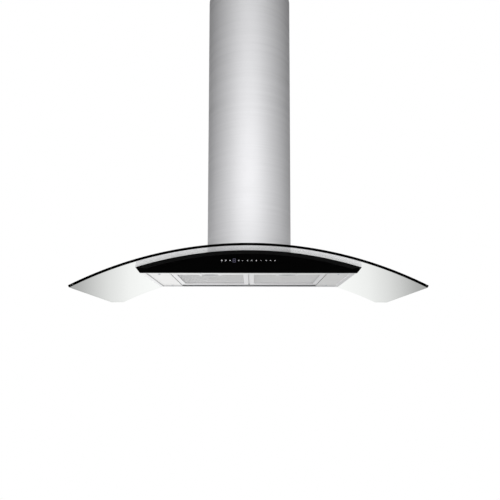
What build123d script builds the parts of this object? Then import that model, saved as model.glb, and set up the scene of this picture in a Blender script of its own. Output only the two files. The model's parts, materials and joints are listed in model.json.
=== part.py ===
from build123d import *
from math import asin, cos, degrees, exp, log, radians, sin, sqrt, tan
import os

os.makedirs("parts", exist_ok=True)

# Wall-mounted range hood with a curved glass canopy
# Millimetres, X to the right seen from the room, Y towards the wall, Z up
# The wall is the plane Y = 0 and the origin is the centre of the four wall holes

# Glass canopy, bent to a cylinder whose axis runs from front to back
GLASS_WIDTH = 900.0
GLASS_DEPTH = 500.0
GLASS_THICK = 6.0
GLASS_RADIUS = 994.0
GLASS_TOP_Z = -160.0
GLASS_FRONT_CORNER = 6.0
REAR_CLIP_SIDE = 90.0
REAR_CLIP_BACK = 18.0
GASKET_THICK = 2.0
GASKET_WIDTH = 9.0

# Sheet steel, the gaps left between pieces and how far a cut runs past its piece
OVERCUT = 1.0
SHEET = 1.0
PLATE = 1.5
FIT = 0.3
SLACK = 0.6
PIN_FIT = 0.06
SHAFT_FIT = 0.05

# Chimney covers, flat at the wall and round at the front
CHIMNEY_HALF = 132.5
CHIMNEY_STRAIGHT = 132.5
CHIMNEY_LIP = 15.0
LOWER_COVER_TOP_Z = 715.0
UPPER_COVER_SHOWN = 45.0
UPPER_COVER_LENGTH = 430.0
COVER_GAP = 1.5
GUIDE_WIDTH = 20.0
GUIDE_HEIGHT = 60.0
GUIDE_YS = (-110.0, -40.0)
CEILING_BRACKET_HEIGHT = 32.0
CEILING_BRACKET_REACH = 66.0
CEILING_HOLE_SPACING = 160.0
CEILING_HOLE_R = 3.0
CEILING_BRACKET_DROP = 8.0
CEILING_BRACKET_STEP = 24.0
CEILING_SCREW_INSET = 12.0
CEILING_SCREW_HEAD_R = 2.6
CEILING_SCREW_HEAD = 1.0
CEILING_SCREW_SHANK = 6.0
COVER_BRACKET_YS = (-70.0, -30.0)
COVER_BRACKET_HALF = 8.0
COVER_BRACKET_Z = (30.0, 50.0)

# Casing under the glass
BODY_DROP = 66.0
BODY_HALF = 283.5
BODY_FLARE = 37.5
BODY_DEPTH = 308.0
HEM = 2.4
RIM = 11.0
REAR_BOX_HALF = 150.0
REAR_BOX_LIFT = 20.0

# Black glass fascia with its touch controls
FASCIA_SETBACK = 62.0
FASCIA_THICK = 4.0
FASCIA_TOP_GAP = 0.5
FASCIA_DROP = 1.5
FASCIA_SPACE = 3.0
TOUCH_LINE_HEIGHT = 30.6
TOUCH_BOARD_LENGTH = 176.0
TOUCH_BOARD_HEIGHT = 28.0
TOUCH_MARGIN = 2.0
BRACKET_INSET = 3.0
BOARD_THICK = 1.6
CHIP_XS = (-70.0, 10.0, 60.0)
CHIP_HALF = 4.0
CHIP_THICK = 1.4
DISPLAY_X = -37.5
DISPLAY_WIDTH = 14.0
DISPLAY_HEIGHT = 18.0
DISPLAY_DEPTH = 4.0
DISPLAY_CHAMFER = 0.8
HOOK_XS = (-200.0, 200.0)
HOOK_WIDTH = 20.0
HOOK_LENGTH = 9.0

# Clamps that hold the glass by the edge of its notch
NOTCH_INSET = 11.5
CLAMP_YS = (-110.0, -40.0)
CLAMP_HALF = 9.0
CLAMP_THICK = 2.0
CLAMP_LEG = 2.4
CLAMP_LIP = 8.0
CLAMP_FOOT = 9.5
FOOT_SHANK = 5.0

# Blower box and wall plate
TOWER_INSET = 13.0
TOWER_LIP = 12.0
FOOT_WIDTH = 13.0
FOOT_SCREW_YS = (-120.0, -30.0)
AIR_WAY_INSET = 16.0
DECK_Z = 108.0
WALL_PLATE_WING = 7.0
WALL_PLATE_RISE = 20.0
WALL_PLATE_CORNER = 12.0
WALL_HOLE_SPACING_X = 170.0
WALL_HOLE_SPACING_Z = 150.0
WALL_HOLE_R = 4.0

# Blower: a double-inlet wheel in a scroll, on a shaft across the hood
BLOWER_Y = -112.0
BLOWER_Z = -20.0
WHEEL_R = 72.0
BLADE_DEPTH = 13.0
WHEEL_HALF = 50.0
WHEEL_RING = 2.0
WHEEL_DISC = 2.0
BLADE_COUNT = 32
BLADE_THICK = 1.1
BLADE_SWEEP = 7.5
BLADE_BOW = 3.4
SCROLL_HALF = 60.0
SCROLL_WALL = 2.0
SCROLL_FRONT_ROOM = 5.1
SCROLL_TURN = 245.0
SCROLL_ARCS = 4
WHEEL_ROOM = 3.0
SPIRAL_ROOM = 6.0
SCROLL_RIM = 7.0
SCROLL_OUTLET_Z = 82.0
OUTLET_REAR_Y = -85.0
INLET_INSET = 12.0
INLET_FLARE = 7.0
INLET_WALL = 1.6
SHAFT_R = 4.0
HUB_R = 12.0
HUB_LENGTH = 12.0
SHAFT_END = 4.0
SHAFT_CHAMFER = 0.5
CLIP_THICK = 1.2
CLIP_WIDTH = 3.5
CLIP_GAP = 3.0
MOTOR_R = 42.0
MOTOR_START_X = 8.0
MOTOR_NECK_R = 29.4
MOTOR_TAIL_R = 33.6
MOTOR_FRONT_STEPS = (6.0, 8.0, 12.0, 18.0)
MOTOR_REAR_STEPS = (12.0, 4.0)
ARM_WIDTH = 16.0
ARM_COUNT = 3
ARM_BOLT_REACH = 11.0
GROMMET_R = 7.0
GROMMET_WAIST = 2.0
GROMMET_GROOVE = 1.5

# Outlet collar for a 150 mm duct, with two damper flaps
COLLAR_Y = -140.0
COLLAR_R = 74.5
COLLAR_WALL = 2.0
COLLAR_HEIGHT = 50.0
COLLAR_BRIM = 9.5
COLLAR_FLANGE = 2.0
STOP_WIDTH = 4.5
STOP_Z = 124.0
STOP_THICK = 1.5
FLAP_THICK = 1.2
FLAP_GAP = 1.0
FLAP_PIN_R = 2.0
KNUCKLE_R = 3.6
KNUCKLE_LENGTH = 18.0
KNUCKLE_STARTS = (-58.0, -20.0, 2.0, 40.0)
PIN_BOSS_DEPTH = 4.5
PIN_BOSS_HALF = 4.0
COLLAR_BOND = 0.5

# Underside panel, filters and lamps
PANEL_MARGIN = 2.0
BAY_SIDE = 72.0
BAY_SETBACK = 46.5
BAY_REAR_MARGIN = 10.0
HINGE_ROOM = 24.9
BAY_FLANGE_STOP = 30.0
RAIL_HALF = 10.0
RAIL_WEB_RISE = 5.0
FILTER_GAP = 2.4
FILTER_SIDE_GAP = 2.0
FILTER_THICK = 9.0
FILTER_CORNER = 3.0
FRAME_WIDTH = 14.0
FRAME_REAR_WIDTH = 30.0
FRAME_LIP = 1.8
GROOVE = 5.2
PLEAT_PITCH = 10.0
PLEAT_HEIGHT = 3.6
MESH_THICK = 1.6
PIN_SETBACK = 8.0
FILTER_PIN_R = 2.0
FILTER_PIN_HALF = 4.0
EAR_R = 3.6
EAR_THICK = 2.0
EAR_NECK_HALF = 2.5
EAR_OFFSET = 70.0
LUG_THICK = 2.0
LUG_FRONT = 3.5
LUG_REAR = 4.5
LEDGE_FRONT = 6.0
LATCH_BOSS_HALF = 30.0
LATCH_BOSS_DEPTH = 34.0
LATCH_HALF = 22.5
LATCH_LENGTH = 19.0
LATCH_THICK = 5.0
LATCH_TRAVEL = 6.0
LATCH_WALL = 4.0
LATCH_RIB = 2.0
LATCH_RIB_RISE = 2.4
BOLT_HALF = 10.0
BOLT_THICK = 2.0
BOLT_REACH = 5.0
FINGER_R = 30.0
FINGER_HALF = 14.0
FINGER_DEPTH = 3.2
LAMP_XS = (-170.0, 170.0)
LAMP_LENGTH = 84.0
LAMP_WIDTH = 20.0
LAMP_HEIGHT = 12.0
LAMP_WALL = 1.5
LAMP_FLANGE = 2.5
LAMP_CORNER = 4.0
LAMP_BOARD_GAP = 1.0
LED_XS = (-30.0, -15.0, 0.0, 15.0, 30.0)
LED_HALF = 1.75
LED_HEIGHT = 1.0
PANEL_SCREW_SIDE = 41.5
PANEL_SCREW_FRONT = 42.0
PANEL_SCREW_REAR = 27.0
POST_R = 5.0
POST_BORE = 9.0
SCREW_R = 1.6
SCREW_HEAD_R = 3.6
SCREW_HEAD = 1.4

# Electrical pieces
BOX_SIDE = 21.5
BOX_WIDTH = 46.0
BOX_END_ROOM = 19.0
BOX_REAR_ROOM = 40.0
BOX_HEIGHT = 15.0
BOX_WALL = 1.5
BOX_BOSS_INSET = 30.0
BOX_BOSS_START = 4.0
BOX_BOSS = 6.0
LID_PLUG = 2.0
BOARD_MARGIN = 4.0
BOARD_RISE = 4.0
RELAY_COUNT = 4
RELAY_START = 9.0
RELAY_PITCH = 18.0
RELAY_SIZE = (12.0, 14.0, 6.0)
SUPPLY_SIZE = (28.0, 30.0, 6.5)
SUPPLY_MARGIN = 14.0
CAPACITOR_R = 14.0
CAPACITOR_LENGTH = 52.0
CAPACITOR_SIDE = 26.0
CAPACITOR_STANDOFF = 6.0
CAPACITOR_CHAMFER = 1.2
CAPACITOR_TAG = 6.0
BAND_THICK = 1.2
BAND_WIDTH = 14.0
BAND_STEM = 10.0
BAND_FOOT = 24.0
TERMINAL_X = (-58.0, -22.0)
TERMINAL_Z = (80.0, 94.0)
TERMINAL_DEPTH = 12.0
TERMINAL_FLOOR = 5.0
TERMINAL_LIP = 4.0
TERMINAL_WALL = 2.0
TERMINAL_WAYS = 3
GLAND_SIDE = 28.0
GLAND_Y = -50.0
GLAND_R = 9.0
GLAND_TOP_R = 6.5
GLAND_NUT_R = 10.5
GLAND_THREAD_R = 6.0
GLAND_THREAD = 7.0
GLAND_HEX = 5.0
GLAND_NUT = 4.0
GLAND_DOME = 8.0
CABLE_R = 4.2

# Places that follow from the sizes above
BEND_Z = GLASS_TOP_Z - GLASS_RADIUS
UNDER_RADIUS = GLASS_RADIUS - GLASS_THICK
CASING_RADIUS = UNDER_RADIUS - GASKET_THICK
ROUND_Y = -CHIMNEY_STRAIGHT
CHIMNEY_DEPTH = CHIMNEY_STRAIGHT + CHIMNEY_HALF
NOTCH_HALF = CHIMNEY_HALF - NOTCH_INSET
TOWER_HALF = NOTCH_HALF - TOWER_INSET
WALL_PLATE_HALF = TOWER_HALF + WALL_PLATE_WING
AIR_WAY_HALF = TOWER_HALF - AIR_WAY_INSET
DUCT_R = COLLAR_R - COLLAR_WALL
WHEEL_INNER_R = WHEEL_R - BLADE_DEPTH
SCROLL_MIN_R = WHEEL_R + SPIRAL_ROOM
SCROLL_CORNER_Y = ROUND_Y - sqrt((TOWER_HALF - SHEET) ** 2 - SCROLL_HALF**2)
SCROLL_MAX_R = BLOWER_Y - SCROLL_CORNER_Y - SCROLL_WALL - SCROLL_FRONT_ROOM
INLET_R = WHEEL_R - INLET_INSET
ARM_BOLT_R = INLET_R + INLET_FLARE + ARM_BOLT_REACH
BODY_Z = GLASS_TOP_Z - BODY_DROP
FASCIA_Y = FASCIA_SETBACK - GLASS_DEPTH
CASING_FRONT_Y = FASCIA_Y + FASCIA_THICK + FASCIA_SPACE
CASING_REAR_Y = CASING_FRONT_Y + BODY_DEPTH
PANEL_Z = BODY_Z + HEM
BAY_HALF = BODY_HALF - BAY_SIDE
BAY_FRONT_Y = FASCIA_Y + BAY_SETBACK
BAY_REAR_Y = CASING_REAR_Y - BAY_REAR_MARGIN
TOUCH_Z = BODY_Z + TOUCH_LINE_HEIGHT
FILTER_FRONT_Y = BAY_FRONT_Y + SLACK
FILTER_REAR_Y = BAY_REAR_Y - HINGE_ROOM
FILTER_INNER_X = FILTER_GAP / 2
FILTER_OUTER_X = BAY_HALF - FILTER_SIDE_GAP
FILTER_X = (FILTER_INNER_X + FILTER_OUTER_X) / 2
FILTER_PIN_Y = FILTER_REAR_Y + PIN_SETBACK
FILTER_PIN_Z = PANEL_Z + FILTER_THICK / 2
RAIL_Z = PANEL_Z + FILTER_THICK + SLACK
LAMP_Y = (CASING_FRONT_Y + RIM + BAY_FRONT_Y) / 2
PANEL_SCREW_X = BODY_HALF - PANEL_SCREW_SIDE
PANEL_SCREW_YS = (CASING_FRONT_Y + PANEL_SCREW_FRONT, CASING_REAR_Y - PANEL_SCREW_REAR)
BOX_X = (BOX_SIDE - BODY_HALF, BOX_SIDE - BODY_HALF + BOX_WIDTH)
BOX_Y = (PANEL_SCREW_YS[0] + BOX_END_ROOM, PANEL_SCREW_YS[1] - BOX_REAR_ROOM)
GLAND_X = -TOWER_HALF + GLAND_SIDE
CAPACITOR_X = -TOWER_HALF + CAPACITOR_SIDE


# Shared shapes


def block(x, y, z):
    """Box between two corners, each axis given as a low and a high value."""
    size = Box(x[1] - x[0], y[1] - y[0], z[1] - z[0])
    return Pos((x[0] + x[1]) / 2, (y[0] + y[1]) / 2, (z[0] + z[1]) / 2) * size


def prism(plan, low, high):
    """Upright solid over a plan drawn in X and Y."""
    return extrude(Pos(0, 0, low) * plan, high - low)


def along_y(section, front, rear):
    """Solid from Y = front to Y = rear, over a section drawn in X and Z."""
    return extrude(Plane.XZ.offset(-rear) * section, rear - front)


def along_x(section, left, right):
    """Solid from X = left to X = right, over a section drawn in Y and Z."""
    return extrude(Plane.YZ.offset(left) * section, right - left)


def bend_cylinder(radius):
    """Cylinder about the bend axis of the canopy."""
    turned = Rot(90, 0, 0) * Cylinder(radius, 2 * GLASS_DEPTH)
    return Pos(0, -GLASS_DEPTH / 2, BEND_Z) * turned


def bent(plan, low, high):
    """The part of a plan's prism that lies between two radii of the bend."""
    shell = bend_cylinder(high) - bend_cylinder(low)
    return prism(plan, GLASS_TOP_Z - GLASS_WIDTH / 4, GLASS_TOP_Z + GLASS_THICK) & shell


def on_bend(x, y, radius):
    """Place at a radius of the bend above X, with its Z axis square to the glass."""
    lean = degrees(asin(x / radius))
    return Pos(0, y, BEND_Z) * Rot(0, lean, 0) * Pos(0, 0, radius)


def d_plan(half, back=0.0):
    """D-shaped plan about the chimney's round front, flat at Y = back."""
    straight = back - ROUND_Y
    flat = Pos(0, ROUND_Y + straight / 2) * Rectangle(2 * half, straight)
    front = Pos(0, ROUND_Y) * Circle(half) & flat_plan((-half, half), (ROUND_Y - half, ROUND_Y))
    return flat + front


def flat_plan(x, y):
    """Rectangular plan between two corners."""
    return Pos((x[0] + x[1]) / 2, (y[0] + y[1]) / 2) * Rectangle(x[1] - x[0], y[1] - y[0])


def cover(half, back, lip, wall, low, high):
    """Sheet cover of D-shaped plan, open at the wall but for two inward lips."""
    inside = d_plan(half - wall, back - wall)
    opening = flat_plan((lip - half, half - lip), (ROUND_Y, back + wall))
    return prism(d_plan(half, back) - inside - opening, low, high)


def both_sides(shape):
    """A shape and its mirror image about the middle plane."""
    return shape + mirror(shape, about=Plane.YZ)


def screw(head_r, head, shank_r, shank):
    """Pan-head screw whose head stands on Z = 0 and whose shank hangs below."""
    top = Pos(0, 0, head / 2) * Cylinder(head_r, head)
    domed = chamfer(top.edges().group_by(Axis.Z)[-1], head / 2)
    return domed + Pos(0, 0, -shank / 2) * Cylinder(shank_r, shank)


def save(name, shape):
    """Write one piece of the hood."""
    export_step(shape, f"parts/{name}.step")


# Glass canopy and what holds it


def make_canopy():
    half = GLASS_WIDTH / 2
    corner = half - REAR_CLIP_BACK
    points = [
        (-half, -GLASS_DEPTH),
        (half, -GLASS_DEPTH),
        (half, -REAR_CLIP_SIDE),
        (corner, 0),
        (-corner, 0),
        (-half, -REAR_CLIP_SIDE),
    ]
    sheet = make_face(Polyline(*points, close=True))
    front = sheet.vertices().group_by(Axis.Y)[0]
    sheet = fillet(front, GLASS_FRONT_CORNER)
    save("glass_canopy", bent(sheet - d_plan(NOTCH_HALF, 1), UNDER_RADIUS, GLASS_RADIUS))


def make_gasket():
    edge = BODY_HALF - RIM
    front, rear = CASING_FRONT_Y + RIM, CASING_REAR_Y - RIM
    outer = flat_plan((-edge, edge), (front, rear))
    inner = flat_plan(
        (GASKET_WIDTH - edge, edge - GASKET_WIDTH),
        (front + GASKET_WIDTH, rear - GASKET_WIDTH),
    )
    ring_outer = NOTCH_HALF + FIT + GASKET_WIDTH
    notch_ring = d_plan(ring_outer, -PLATE) - d_plan(NOTCH_HALF + FIT, 1)
    frame = outer - inner - d_plan(ring_outer + FIT, 1)
    save("glass_gasket", bent(frame + notch_ring, CASING_RADIUS, UNDER_RADIUS))


def clamp_screw_seat(y):
    """Place of the right-hand clamp's screw head at Y, square to the bend."""
    x = NOTCH_HALF - FIT - CLAMP_LEG - CLAMP_FOOT / 2
    return on_bend(x, y, CASING_RADIUS + CLAMP_THICK)


def make_clamps():
    outer = NOTCH_HALF - FIT
    lip_low = GLASS_RADIUS + FIT
    clamps, screws = Part(), Part()
    for y in CLAMP_YS:
        reach = (y - CLAMP_HALF, y + CLAMP_HALF)
        leg_x = (outer - CLAMP_LEG, outer)
        foot_x = (outer - CLAMP_LEG - CLAMP_FOOT, outer)
        lip_x = (outer - CLAMP_LEG, outer + CLAMP_LIP)
        clamp = bent(flat_plan(foot_x, reach), CASING_RADIUS, CASING_RADIUS + CLAMP_THICK)
        clamp += bent(flat_plan(leg_x, reach), CASING_RADIUS, lip_low + CLAMP_THICK)
        clamp += bent(flat_plan(lip_x, reach), lip_low, lip_low + CLAMP_THICK)
        seat = clamp_screw_seat(y)
        clamps += both_sides(clamp - seat * Cylinder(SCREW_R, 3 * CLAMP_THICK))
        screws += both_sides(seat * screw(SCREW_HEAD_R, SCREW_HEAD, SCREW_R, FOOT_SHANK))
    save("glass_clamps", clamps)
    save("clamp_screws", screws)


# Casing


def body_section(inset, bottom, radius):
    """Cross-section of the casing, drawn in by inset, level at bottom and bent on top."""
    slope = tan(radians(BODY_FLARE))
    rise = GLASS_TOP_Z - bottom
    half = BODY_HALF - inset / cos(radians(BODY_FLARE)) + (bottom - BODY_Z) * slope
    top = half + rise * slope
    corners = [(-half, bottom), (half, bottom), (top, GLASS_TOP_Z), (-top, GLASS_TOP_Z)]
    return make_face(Polyline(*corners, close=True)) & Pos(0, BEND_Z) * Circle(radius)


def rear_section(inset):
    """Cross-section of the box between the casing and the wall."""
    half = REAR_BOX_HALF - inset
    low = BODY_Z + REAR_BOX_LIFT + inset
    return flat_plan((-half, half), (low, GLASS_TOP_Z))


def clamp_screw_holes():
    holes = Part()
    for y in CLAMP_YS:
        holes += both_sides(clamp_screw_seat(y) * Cylinder(SCREW_R, 2 * FOOT_SHANK))
    return holes


def foot_screw_places():
    """Four places on the blower box's foot, square to the bend."""
    x = TOWER_HALF - SHEET - FOOT_WIDTH / 2
    level = CASING_RADIUS + CLAMP_THICK
    return [on_bend(side * x, y, level) for side in (-1, 1) for y in FOOT_SCREW_YS]


def casing_walls():
    """Front, flared sides and back of the casing, with the hem turned in round its mouth."""
    top = CASING_RADIUS - SHEET
    shell = along_y(body_section(0, BODY_Z, top), CASING_FRONT_Y, CASING_REAR_Y)
    room = body_section(SHEET, PANEL_Z, CASING_RADIUS)
    shell -= along_y(room, CASING_FRONT_Y + SHEET, CASING_REAR_Y - SHEET)
    mouth = BODY_HALF - RIM
    mouth_y = (CASING_FRONT_Y + RIM, CASING_REAR_Y - RIM)
    shell -= block((-mouth, mouth), mouth_y, (BODY_Z - OVERCUT, PANEL_Z + OVERCUT))
    way = along_y(rear_section(SHEET), CASING_REAR_Y - 2 * SHEET, CASING_REAR_Y + OVERCUT)
    window_x = TOUCH_BOARD_LENGTH / 2 + TOUCH_MARGIN
    window_z = TOUCH_BOARD_HEIGHT / 2 + TOUCH_MARGIN
    front = (CASING_FRONT_Y - OVERCUT, CASING_FRONT_Y + SHEET + OVERCUT)
    shell -= way + block((-window_x, window_x), front, (TOUCH_Z - window_z, TOUCH_Z + window_z))
    slot = SHEET / 2 + 2 * FIT
    for x in HOOK_XS:
        hole = (x - HOOK_WIDTH / 2 - FIT, x + HOOK_WIDTH / 2 + FIT)
        shell -= block(hole, front, (TOUCH_Z - slot, TOUCH_Z + slot))
    return shell


def casing_top():
    """Bent top sheet over the casing and the rear duct, with the blower's air way."""
    edge = BODY_HALF + (BODY_DROP - GASKET_THICK) * tan(radians(BODY_FLARE))
    over_casing = flat_plan((-edge, edge), (CASING_FRONT_Y, CASING_REAR_Y))
    over_duct = flat_plan((-REAR_BOX_HALF, REAR_BOX_HALF), (CASING_REAR_Y - SHEET, -PLATE))
    plan = over_casing + over_duct - d_plan(AIR_WAY_HALF, -PLATE - RIM)
    sheet = bent(plan, CASING_RADIUS - SHEET, CASING_RADIUS)
    sheet &= along_y(body_section(0, BODY_Z, CASING_RADIUS), CASING_FRONT_Y, 0)
    sheet -= clamp_screw_holes()
    for place in foot_screw_places():
        sheet -= place * Cylinder(SCREW_R, 2 * FOOT_SHANK)
    return sheet


def rear_duct():
    """Channel that carries the casing back to the wall, open above and to the casing."""
    duct = along_y(rear_section(0), CASING_REAR_Y, -PLATE)
    duct &= bend_cylinder(CASING_RADIUS - SHEET)
    return duct - along_y(rear_section(SHEET), CASING_REAR_Y - OVERCUT, -PLATE - SHEET)


def make_casing():
    save("casing", casing_walls())
    save("casing_top", casing_top())
    save("rear_duct", rear_duct())


def make_posts():
    posts, screws = Part(), Part()
    reach = PANEL_Z + SHEET
    for y in PANEL_SCREW_YS:
        post = prism(Pos(PANEL_SCREW_X, y) * RegularPolygon(POST_R, 6), reach, GLASS_TOP_Z)
        post &= bend_cylinder(CASING_RADIUS - SHEET)
        post -= Pos(PANEL_SCREW_X, y, reach) * Cylinder(SCREW_R, 2 * POST_BORE)
        posts += both_sides(post)
        upside = Pos(PANEL_SCREW_X, y, PANEL_Z) * Rot(180, 0, 0)
        fixing = upside * screw(SCREW_HEAD_R, SCREW_HEAD, SCREW_R, SHEET + POST_BORE - OVERCUT)
        screws += both_sides(fixing)
    save("panel_posts", posts)
    save("panel_screws", screws)


# Fascia and touch controls


def make_fascia():
    face = body_section(0, BODY_Z - FASCIA_DROP, UNDER_RADIUS - FASCIA_TOP_GAP)
    save("fascia_glass", along_y(face, FASCIA_Y, FASCIA_Y + FASCIA_THICK))
    back = FASCIA_Y + FASCIA_THICK
    window_x = TOUCH_BOARD_LENGTH / 2 + FIT
    window_z = TOUCH_BOARD_HEIGHT / 2 + FIT
    top = UNDER_RADIUS - FASCIA_TOP_GAP - BRACKET_INSET
    plate = body_section(BRACKET_INSET, BODY_Z + BRACKET_INSET, top)
    plate -= flat_plan((-window_x, window_x), (TOUCH_Z - window_z, TOUCH_Z + window_z))
    bracket = along_y(plate, back, back + SHEET)
    for x in HOOK_XS:
        wide = (x - HOOK_WIDTH / 2, x + HOOK_WIDTH / 2)
        level = (TOUCH_Z - SHEET / 2, TOUCH_Z + SHEET / 2)
        bracket += block(wide, (back + SHEET / 2, back + HOOK_LENGTH), level)
    save("fascia_bracket", bracket)


def make_touch_board():
    back = FASCIA_Y + FASCIA_THICK
    half, tall = TOUCH_BOARD_LENGTH / 2, TOUCH_BOARD_HEIGHT / 2
    board = block((-half, half), (back, back + BOARD_THICK), (TOUCH_Z - tall, TOUCH_Z + tall))
    rear = back + BOARD_THICK
    for x in CHIP_XS:
        chip_z = (TOUCH_Z - CHIP_HALF, TOUCH_Z + CHIP_HALF)
        board += block((x - CHIP_HALF, x + CHIP_HALF), (rear, rear + CHIP_THICK), chip_z)
    save("touch_board", board)
    wide = (DISPLAY_X - DISPLAY_WIDTH / 2, DISPLAY_X + DISPLAY_WIDTH / 2)
    level = (TOUCH_Z - DISPLAY_HEIGHT / 2, TOUCH_Z + DISPLAY_HEIGHT / 2)
    module = block(wide, (rear, rear + DISPLAY_DEPTH), level)
    save("display_module", chamfer(module.edges().group_by(Axis.Y)[-1], DISPLAY_CHAMFER))


# Underside


def make_panel():
    half = BODY_HALF + (HEM - SHEET) * tan(radians(BODY_FLARE)) - PANEL_MARGIN
    front = CASING_FRONT_Y + SHEET + PANEL_MARGIN
    rear = CASING_REAR_Y - SHEET - PANEL_MARGIN
    top = PANEL_Z + SHEET
    panel = block((-half, half), (front, rear), (PANEL_Z, top))
    bay = flat_plan((-BAY_HALF, BAY_HALF), (BAY_FRONT_Y, BAY_REAR_Y))
    turned_y = (BAY_FRONT_Y - SHEET, BAY_REAR_Y - BAY_FLANGE_STOP)
    turned = flat_plan((-BAY_HALF - SHEET, BAY_HALF + SHEET), turned_y)
    panel += prism(turned, top, RAIL_Z)
    panel -= prism(bay, PANEL_Z - OVERCUT, RAIL_Z + OVERCUT)
    strike_y = (BAY_FRONT_Y - 2 * SHEET, BAY_FRONT_Y + SHEET)
    for x in (-FILTER_X, FILTER_X):
        gap = BOLT_HALF + 2 * SLACK
        panel -= block((x - gap, x + gap), strike_y, (top, RAIL_Z + OVERCUT))
    for x in LAMP_XS:
        hole_x = LAMP_LENGTH / 2 + FIT
        hole_y = LAMP_WIDTH / 2 + FIT
        hole = flat_plan((x - hole_x, x + hole_x), (LAMP_Y - hole_y, LAMP_Y + hole_y))
        panel -= prism(hole, PANEL_Z - OVERCUT, top + OVERCUT)
    for x in (-PANEL_SCREW_X, PANEL_SCREW_X):
        for y in PANEL_SCREW_YS:
            panel -= Pos(x, y, PANEL_Z) * Cylinder(SCREW_R, 4 * SHEET)
    save("underside_panel", panel)


def make_rail():
    """Bar over the gap between the filters, with a web in the gap and a foot on the panel."""
    wide = (-RAIL_HALF, RAIL_HALF)
    foot_y = (BAY_FRONT_Y - 2 * SHEET, BAY_FRONT_Y - SHEET)
    bar = block(wide, (foot_y[0], BAY_REAR_Y - FIT), (RAIL_Z, RAIL_Z + SHEET))
    foot = block(wide, foot_y, (PANEL_Z + SHEET, RAIL_Z))
    web_y = (BAY_FRONT_Y + FIT, FILTER_REAR_Y)
    web = block((-SHEET / 2, SHEET / 2), web_y, (PANEL_Z + RAIL_WEB_RISE, RAIL_Z))
    save("filter_rail", bar + foot + web)


def ear_xs():
    return [side * (FILTER_X + place) for side in (-1, 1) for place in (-EAR_OFFSET, EAR_OFFSET)]


def make_ledge():
    top = PANEL_Z + SHEET
    shelf_z = (RAIL_Z + SHEET, RAIL_Z + 2 * SHEET)
    half = BAY_HALF - SHEET
    rear = (BAY_REAR_Y, BAY_REAR_Y + SHEET)
    ledge = block((-half, half), (FILTER_PIN_Y - LEDGE_FRONT, rear[1]), shelf_z)
    ledge += block((-half, half), rear, (top, shelf_z[0]))
    slot = FILTER_PIN_R + PIN_FIT
    span = EAR_THICK + 2 * LUG_THICK
    for x in ear_xs():
        pin_line = Pos(x, FILTER_PIN_Y, FILTER_PIN_Z) * Rot(0, 90, 0)
        mouth_z = (FILTER_PIN_Z - slot, FILTER_PIN_Z + slot)
        mouth_y = (FILTER_PIN_Y - LUG_FRONT - OVERCUT, FILTER_PIN_Y)
        way = pin_line * Cylinder(slot, 2 * span) + block((x - span, x + span), mouth_y, mouth_z)
        for side in (-1, 1):
            near = EAR_THICK / 2 + FIT
            wide = sorted((x + side * near, x + side * (near + LUG_THICK)))
            lug_y = (FILTER_PIN_Y - LUG_FRONT, FILTER_PIN_Y + LUG_REAR)
            ledge += block(wide, lug_y, (top, shelf_z[0])) - way
    save("filter_ledge", ledge)


def latch_pocket(grow):
    """Room for the latch in the frame's front boss, open below."""
    front = FILTER_FRONT_Y + LATCH_WALL
    rear = front + LATCH_LENGTH + LATCH_TRAVEL + 2 * grow
    half = LATCH_HALF + grow
    low, high = PANEL_Z - OVERCUT, PANEL_Z + LATCH_THICK + 2 * grow
    pocket = block((FILTER_X - half, FILTER_X + half), (front, rear), (low, high))
    rib_half = half + LATCH_RIB
    rib_low = PANEL_Z + LATCH_RIB_RISE
    rib_z = (rib_low, rib_low + BOLT_THICK + 2 * grow)
    pocket += block((FILTER_X - rib_half, FILTER_X + rib_half), (front, rear), rib_z)
    bolt_half = BOLT_HALF + grow
    way = (FILTER_FRONT_Y - OVERCUT, front + OVERCUT)
    return pocket + block((FILTER_X - bolt_half, FILTER_X + bolt_half), way, bolt_z(grow))


def bolt_z(grow):
    """Lowest and highest level of the latch bolt, widened by grow."""
    low = PANEL_Z + SHEET + SLACK
    return (low - grow, low + BOLT_THICK + grow)


def boss_plan(grow):
    """Plan of the frame's wide part round the latch."""
    half = LATCH_BOSS_HALF + grow
    rear = FILTER_FRONT_Y + LATCH_BOSS_DEPTH + grow
    return flat_plan((FILTER_X - half, FILTER_X + half), (FILTER_FRONT_Y, rear))


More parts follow.
